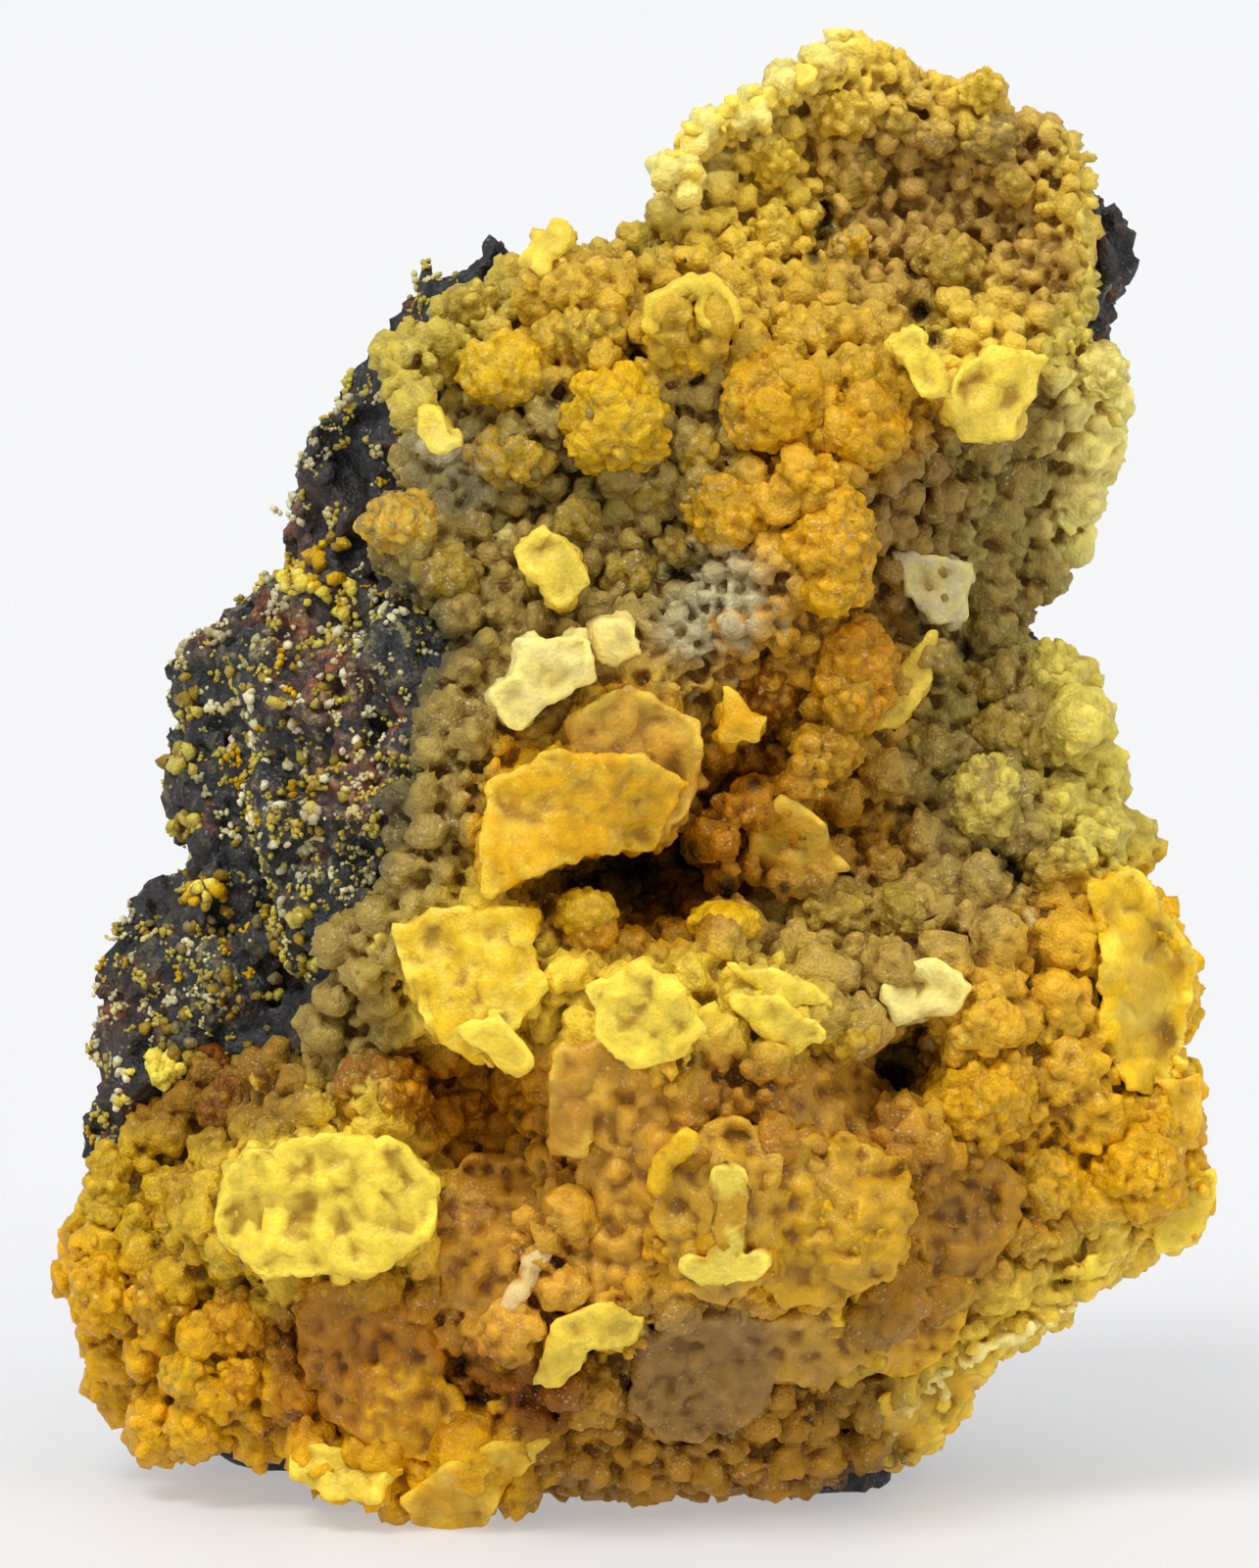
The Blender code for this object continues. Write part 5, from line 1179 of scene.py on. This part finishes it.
# mimetite on the dark face: the growths listed above, then clumps and single grains
def makeSpecks(rock):
    make = speckMake
    dice = np.random.default_rng(31)
    points, normals = pointsOf(rock), normalsOf(rock)
    across, down, depth = inView(points)
    facing = normals @ -ahead
    clay, attributes = Clay(), []

    def grow(places, radii, ways, mixes, tones):
        clay.chips(places, radii * 1.12, ways, dice, flat=0.8, lean=0.6)
        ball = unitBall(1)[0]
        # painted light: the side of each grain facing out from the rock gets painted highlight, the side facing
        # it painted shade
        lit = (np.clip(ways @ ball.T, -1, 1) * 0.12).reshape(-1, 1)
        mixes, tones = np.repeat(mixes, len(ball), axis=0), np.repeat(tones, len(ball))[:, None]
        attributes.append(np.concatenate([mixes, tones, lit, lit * 3], 1))

    for words, count, smallest, biggest, places in rockGrowths.values():
        chance = nearSpots(places, across, down) * (facing > 0.0)
        chance = np.where(chance > 0.25, chance, 0)
        count = min(count, int((chance > 0).sum()))
        picked = dice.choice(len(points), count, replace=False, p=chance / chance.sum())
        sizes = mixedSizes(smallest, biggest, (1.2, 2.0), count, dice)
        words = words.split()
        mixes = np.array([mixOf(word) for word in words])[dice.integers(0, len(words), count)]
        middle = points[picked] + normals[picked] * sizes[:, None] * 0.35
        grow(middle, sizes, normals[picked], mixes, dice.uniform(-1, 1, count))

    patchy = noiseAt(points, 6 * mm, 9) + 0.6 * noiseAt(points, 2 * mm, 4)
    dusty = nearSpots(rockSpots["dust"], across, down)
    onFace = 0.12 + 0.9 * patchy * (0.5 + dusty) + 0.5 * dusty
    elsewhere = 0.25 * np.maximum(0, patchy - 0.3)
    chance = np.where((facing > -0.2) & (across < make["darkFace"]), onFace, elsewhere)
    taken = (farFrom(crustTree, points) > 0.6) & (points[:, 2] > 1.5 * mm)
    taken &= dice.uniform(0, 1, len(points)) < chance
    points, normals = points[taken], normals[taken]
    kinds, parts = list(make["kinds"]), list(make["kinds"].values())
    for what, rounds in (("clump", make["chain"]), ("speck", 1)):
        low, high, spacing, most = make[what]
        size = mixedSizes(low, high, (1.2, 3.2), len(points), dice)
        chosen = spread(points, spacing * size, dice)[:most]
        size, ways = size[chosen], normals[chosen]
        centres = points[chosen] + ways * size[:, None] * 0.1
        mixes = np.array([mixOf(kind) for kind in kinds])[dice.choice(len(kinds), len(size), p=parts)]
        tones = dice.uniform(-1, 1, len(size))
        if what == "speck":
            grow(centres, size, ways, mixes, tones)
            continue
        # a clump is a short chain of balls on the rock, each beside the one before
        place, sizes = centres, size * 0.62
        for turn in range(rounds):
            kept = (dice.uniform(0, 1, len(size)) < 0.85) | (turn == 0)
            grow(place[kept], sizes[kept], ways[kept], mixes[kept], tones[kept])
            aside = sideways(ways, dice)
            start = np.where(dice.uniform(0, 1, len(size))[:, None] < 0.6, place, centres)
            place = start + aside * size[:, None] * 0.8
            sizes = size * dice.uniform(0.35, 0.7, len(size))
    piece = clay.piece("mimetiteSpecks")
    values = np.concatenate(attributes)
    # the grains' painted light goes in as their crease and swell shares
    for i, name in enumerate([kind + "Share" for kind in kindNames] + ["tone", "crease", "swell"]):
        setShare(piece, name, values[:, i])
    setInside(piece, pointsOf(piece))
    return piece


# a colour as screens show it (0 to 255) as the shader takes it
def linear(colour):
    values = [value / 255 for value in colour]
    return tuple(value / 12.92 if value <= 0.04045 else ((value + 0.055) / 1.055) ** 2.4 for value in values)


# a socket that can be reckoned with: each operator adds a Math node
class Wire:
    def __init__(self, tree, socket):
        self.tree, self.socket = tree, socket

    def math(self, operation, first, second):
        node = self.tree.nodes.new("ShaderNodeMath")
        node.operation = operation
        for slot, value in zip(node.inputs, (first, second)):
            if isinstance(value, Wire):
                self.tree.links.new(value.socket, slot)
            else:
                slot.default_value = value
        return Wire(self.tree, node.outputs[0])

    def __add__(self, other): return self.math("ADD", self, other)
    def __radd__(self, other): return self.math("ADD", other, self)
    def __sub__(self, other): return self.math("SUBTRACT", self, other)
    def __rsub__(self, other): return self.math("SUBTRACT", other, self)
    def __mul__(self, other): return self.math("MULTIPLY", self, other)
    def __rmul__(self, other): return self.math("MULTIPLY", other, self)


class Finish:
    def __init__(self, name):
        self.material = bpy.data.materials.new(name)
        self.material.use_nodes = True
        self.tree = self.material.node_tree
        self.tree.nodes.clear()
        self.place = self.node("ShaderNodeTexCoord", output="Object")

    # adds a node: its settings first, then values or links of its sockets
    def node(self, kind, settings=None, sockets=None, output=0):
        node = self.tree.nodes.new(kind)
        for key, value in (settings or {}).items():
            setattr(node, key, value)
        for key, value in (sockets or {}).items():
            if isinstance(value, Wire):
                self.tree.links.new(value.socket, node.inputs[key])
            else:
                node.inputs[key].default_value = value
        return Wire(self.tree, node.outputs[output]) if len(node.outputs) else node

    def share(self, name):
        return self.node("ShaderNodeAttribute", {"attribute_name": name}, output="Fac")

    def blend(self, factor, first, second, how="MIX"):
        pair = [value if isinstance(value, Wire) else (*value, 1.0) for value in (first, second)]
        return self.node("ShaderNodeMix", {"data_type": "RGBA", "blend_type": how, "clamp_factor": True},
                         {0: factor, 6: pair[0], 7: pair[1]}, output=2)

    # goes from 0 to 1 as a value goes from low to high
    def ramp(self, value, low, high):
        return self.node("ShaderNodeMapRange", {"interpolation_type": "SMOOTHSTEP"},
                         {"Value": value, "From Min": low, "From Max": high})

    def clouds(self, size, detail=3.0, rough=0.55, place=None):
        return self.node("ShaderNodeTexNoise", None, {"Vector": place or self.place, "Scale": 1 / size,
                         "Detail": detail, "Roughness": rough}, output="Fac")

    def cells(self, size, output="Distance"):
        return self.node("ShaderNodeTexVoronoi", {"feature": "F1"},
                         {"Vector": self.place, "Scale": 1 / size}, output)

    # a random value for each small cell
    def picks(self, size):
        return self.node("ShaderNodeSeparateColor", None, {"Color": self.cells(size, "Color")}, "Red")

    def bump(self, height, strength):
        return self.node("ShaderNodeBump", None,
                         {"Strength": strength, "Distance": mm, "Height": height}, "Normal")

    def scaled(self, colour, amount):
        return self.node("ShaderNodeVectorMath", {"operation": "SCALE"}, {0: colour, "Scale": amount})

    def sum(self, first, second):
        return self.node("ShaderNodeVectorMath", {"operation": "ADD"}, {0: first, 1: second})

    # the shader itself: values stay on its sockets, wires are linked
    def principled(self, **sockets):
        names = {"colour": "Base Color", "roughness": "Roughness", "normal": "Normal", "ior": "IOR",
                 "glow": "Subsurface Weight", "glowRadius": "Subsurface Radius", "glowScale": "Subsurface Scale",
                 "gloss": "Specular IOR Level", "glintTint": "Specular Tint",
                 "lampColour": "Emission Color", "lampStrength": "Emission Strength"}
        shader = self.node("ShaderNodeBsdfPrincipled", {"subsurface_method": "BURLEY"},
                           {names[key]: value for key, value in sockets.items()})
        self.node("ShaderNodeOutputMaterial", None, {"Surface": shader})
        return self.material


mimetiteLook = {
    "creaseShade": (0.46, 0.30, 0.12),    # painted shade: what creases are multiplied by
    "creaseShadeStrength": 0.9,
    "hollowShade": 0.40,         # painted shade: how bright broad hollows stay
    # painted shade in the gaps and holes
    "holeShade": (24, 13, 4),
    "topHighlight": 0.55,            # painted highlight: how much paler the tops of the balls get
    "topHighlightBright": 1.45,
    "toneChange": 0.12,         # from ball to ball
    "driftSize": 4.5 * mm,      # broad and fine clouds of light and dark
    "driftChange": 0.40,
    "fineSize": 0.6 * mm,
    "fineChange": 0.62,
    "paintedGlintSize": 0.13 * mm,     # painted glints: pale points of light on the crystals
    "paintedGlintColour": (246, 240, 214),
    "paintedGlintStrength": 0.32,
    "drusySize": 0.24 * mm,     # relief of small crystals
    "drusyDepth": 0.10 * mm,
    "knobSize": 0.42 * mm,
    "knobDepth": 0.20 * mm,
    "bump": 0.75,
    "roughness": 0.40,
    "shader": {"glow": 0.18, "glowRadius": (1.0, 0.48, 0.14), "glowScale": 0.0008,
               "glintTint": (1.0, 0.82, 0.42, 1.0), "ior": 1.6},
}


def mimetiteFinish(name, knobs=1.0, druseAndGlints=1.0, gloss=0.32):
    look = mimetiteLook
    finish = Finish(name)
    colour = None
    for kind, value in crustColours.items():
        part = finish.scaled(linear(value), finish.share(kind + "Share"))
        colour = part if colour is None else finish.sum(colour, part)
    tone, crease, swell, shade = [finish.share(part) for part in ("tone", "crease", "swell", "shade")]
    drift = finish.clouds(look["driftSize"], 3.0)
    fine = finish.clouds(look["fineSize"], 5.0, 0.7)
    light = 0.88 + look["toneChange"] * tone + look["driftChange"] * (drift - 0.5)
    light = light + look["fineChange"] * (fine - 0.5)
    colour = finish.scaled(colour, light)
    # painted shade: creases between the balls go deep and warm; painted highlight: the tops pale
    deep = 1.0 - finish.ramp(crease, -0.30, 0.03)
    colour = finish.blend(deep * look["creaseShadeStrength"], colour, look["creaseShade"], "MULTIPLY")
    # painted shade: broad hollows darker
    hollow = 1.0 - finish.ramp(swell, -0.9, 0.0)
    colour = finish.blend(hollow * 0.65, colour, finish.scaled(colour, look["hollowShade"]))
    # painted highlight: the tops of the balls paler
    top = finish.ramp(crease, 0.04, 0.30)
    colour = finish.blend(top * look["topHighlight"], colour, finish.scaled(colour, look["topHighlightBright"]))
    # painted shade: the gaps and holes go nearly black
    colour = finish.blend(finish.ramp(shade, 0.4, 0.95) * 0.9, colour, linear(look["holeShade"]))
    # painted glints: pale points of light
    glint = finish.ramp(finish.picks(look["paintedGlintSize"]), 0.92, 0.98)
    glint = glint * finish.ramp(finish.clouds(1.8 * mm), 0.42, 0.60)
    colour = finish.blend(glint * look["paintedGlintStrength"] * druseAndGlints, colour, linear(look["paintedGlintColour"]))
    height = (1.0 - finish.cells(look["drusySize"])) * (look["drusyDepth"] * druseAndGlints / mm)
    height = height + finish.clouds(look["knobSize"], 2.0) * (look["knobDepth"] * knobs / mm)
    roughness = look["roughness"] + 0.22 * (fine - 0.5) + 0.12 * deep
    return finish.principled(colour=colour, roughness=roughness, normal=finish.bump(height, look["bump"]),
                             gloss=gloss, **look["shader"])


rockLook = {
    "dark": (12, 10, 10),
    "grey": (50, 49, 54),
    "brown": (58, 40, 24),
    "brownSize": 9 * mm,
    "rust": (132, 66, 24),
    "rustSize": 3.4 * mm,
    "dust": (150, 138, 84),
    "dustSize": 2.2 * mm,
    # painted glints: pale points of light on the rock
    "paintedGlint": (150, 152, 164),
    "paintedGlintSize": 0.16 * mm,
    "bump": 0.9,
}


def rockFinish():
    look = rockLook
    finish = Finish("ironOxideRock")
    crease = finish.share("crease")
    broad, fine = finish.clouds(5 * mm, 4.0), finish.clouds(0.8 * mm, 5.0, 0.65)
    colour = finish.blend(finish.ramp(fine, 0.45, 0.75) * 0.8, linear(look["dark"]), linear(look["grey"]))
    brown = finish.ramp(finish.clouds(look["brownSize"], 4.0, 0.6), 0.50, 0.62) * 0.7
    brown = brown * finish.ramp(fine, 0.3, 0.6)
    colour = finish.blend(brown, colour, linear(look["brown"]))
    rusty = finish.ramp(finish.clouds(look["rustSize"], 5.0, 0.6), 0.56, 0.68) * finish.ramp(fine, 0.35, 0.6)
    rusty = rusty + finish.share("rust") * finish.ramp(fine, 0.38, 0.55)
    colour = finish.blend(rusty * 0.8, colour, linear(look["rust"]))
    elsewhere = finish.sum(finish.place, (0.03, 0.01, 0.02))
    dusty = finish.ramp(finish.clouds(look["dustSize"], 5.0, 0.7, elsewhere), 0.56, 0.68)
    dusty = dusty * 0.4 + finish.share("dust") * finish.ramp(finish.clouds(0.7 * mm, 4.0, 0.7), 0.50, 0.62)
    colour = finish.blend(dusty * finish.ramp(crease, -0.1, 0.05) * 0.8, colour, linear(look["dust"]))
    # painted glints on the rock
    glint = finish.ramp(finish.picks(look["paintedGlintSize"]), 0.93, 0.97)
    glint = glint * finish.ramp(finish.clouds(1.5 * mm), 0.45, 0.6) * 0.4
    colour = finish.blend(glint, colour, linear(look["paintedGlint"]))
    colour = finish.scaled(colour, 0.35 + 0.9 * finish.ramp(crease, -0.22, 0.14))    # painted shade: creases stay dark, and the tops get a little painted light
    height = (1.0 - finish.cells(0.30 * mm)) * 0.10 + fine * 0.16 + broad * 0.1
    roughness = 0.45 + 0.4 * finish.clouds(0.35 * mm, 2.0)
    return finish.principled(colour=colour, roughness=roughness, normal=finish.bump(height, look["bump"]),
                             gloss=0.4, ior=1.7)


print("core")
core, knoll, valley, hollow = makeCore()
print("bed")
upperBed, lowerBed = makeBed(core, knoll, valley, hollow)
print("heads")
heads = makeHeads()
print("flakes")
flakes = makeFlakes()
print("rock")
rock = makeRock()
print("specks")
specks = makeSpecks(rock)
bpy.data.objects.remove(core)

mimetite = mimetiteFinish("mimetiteDruse")
mimetiteSmooth = mimetiteFinish("mimetiteBroken", knobs=0.5, druseAndGlints=0.6, gloss=0.45)
crustPieces = {upperBed: mimetite, lowerBed: mimetite, heads: mimetite, flakes: mimetiteSmooth, specks: mimetite}
for piece, finish in (*crustPieces.items(), (rock, rockFinish())):
    piece.data.materials.clear()
    piece.data.materials.append(finish)
    piece.data.shade_smooth()
    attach(piece, "root")
    "iron_oxide_rock" if piece == rock else "mimetite"
    print(piece.name, len(trianglesOf(piece)), "triangles")
for piece in crustPieces:
    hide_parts("mimetite_crust")
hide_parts("matrix")

studio = {
    "floorSize": 60.0,
    "floorColour": (0.42, 0.42, 0.425),
    "floorGlow": 0.40,      # like a lit table, so that shadows stay pale
    "worldColour": (0.97, 0.975, 1.0),
    "worldLight": 0.60,
    "backdrop": (0.915, 0.92, 0.935),
    # where each light comes from (degrees round from the front, degrees up), strength and softness (degrees)
    "lights": {
        "leftWindow": (-32, 56, 1.75, 24),
        "rightFill": (48, 46, 0.75, 50),
    },
}


# the way from the middle towards a light, degrees round from the front and up
def towards(around, above):
    around, above = math.radians(around), math.radians(above)
    return Vector((math.sin(around) * math.cos(above), -math.cos(around) * math.cos(above), math.sin(above)))


def makeStudio():
    half = studio["floorSize"] / 2
    corners = [[-half, -half, 0], [half, -half, 0], [half, half, 0], [-half, half, 0]]
    floor = meshPiece("floor", np.array(corners), np.array([[0, 1, 2], [0, 2, 3]]))
    finish = Finish("paleFloor")
    darker = tuple(value * 0.99 for value in studio["floorColour"])
    shade = finish.blend(finish.clouds(0.4, 2.0), studio["floorColour"], darker)
    floor.data.materials.append(finish.principled(colour=shade, roughness=0.55, lampColour=(1.0, 1.0, 1.0, 1.0),
                                                  lampStrength=studio["floorGlow"]))
    # the camera sees a pale backdrop, while the object is lit by a whiter one
    world = bpy.data.worlds.new("studio")
    bpy.context.scene.world = world
    world.use_nodes = True
    nodes, links = world.node_tree.nodes, world.node_tree.links
    nodes.clear()
    path, mix, out = [nodes.new(kind) for kind in ("ShaderNodeLightPath", "ShaderNodeMixShader",
                                                   "ShaderNodeOutputWorld")]
    links.new(path.outputs["Is Camera Ray"], mix.inputs[0])
    for slot, colour, strength in ((1, "worldColour", studio["worldLight"]), (2, "backdrop", 1.0)):
        sky = nodes.new("ShaderNodeBackground")
        sky.inputs["Color"].default_value = (*studio[colour], 1)
        sky.inputs["Strength"].default_value = strength
        links.new(sky.outputs[0], mix.inputs[slot])
    links.new(mix.outputs[0], out.inputs[0])
    for name, (around, above, strength, softness) in studio["lights"].items():
        light = bpy.data.objects.new(name, bpy.data.lights.new(name, "SUN"))
        light.data.energy = strength
        light.data.angle = math.radians(softness)
        light.rotation_euler = (-towards(around, above)).to_track_quat("-Z", "Y").to_euler()
        bpy.context.scene.collection.objects.link(light)


def makeCamera():
    camera = bpy.data.objects.new("frontCamera", bpy.data.cameras.new("frontCamera"))
    bpy.context.scene.collection.objects.link(camera)
    camera.data.sensor_fit = "VERTICAL"
    camera.data.sensor_height = 36
    camera.data.lens = 36 * frontView["distance"] / (frontView["size"][1] / frontView["pixelsPerMetre"])
    camera.data.clip_start = 0.01
    camera.location = eye
    camera.rotation_euler = Vector(ahead).to_track_quat("-Z", "Y").to_euler()
    bpy.context.scene.camera = camera


makeStudio()
makeCamera()
bpy.context.scene.view_settings.view_transform = "Standard"
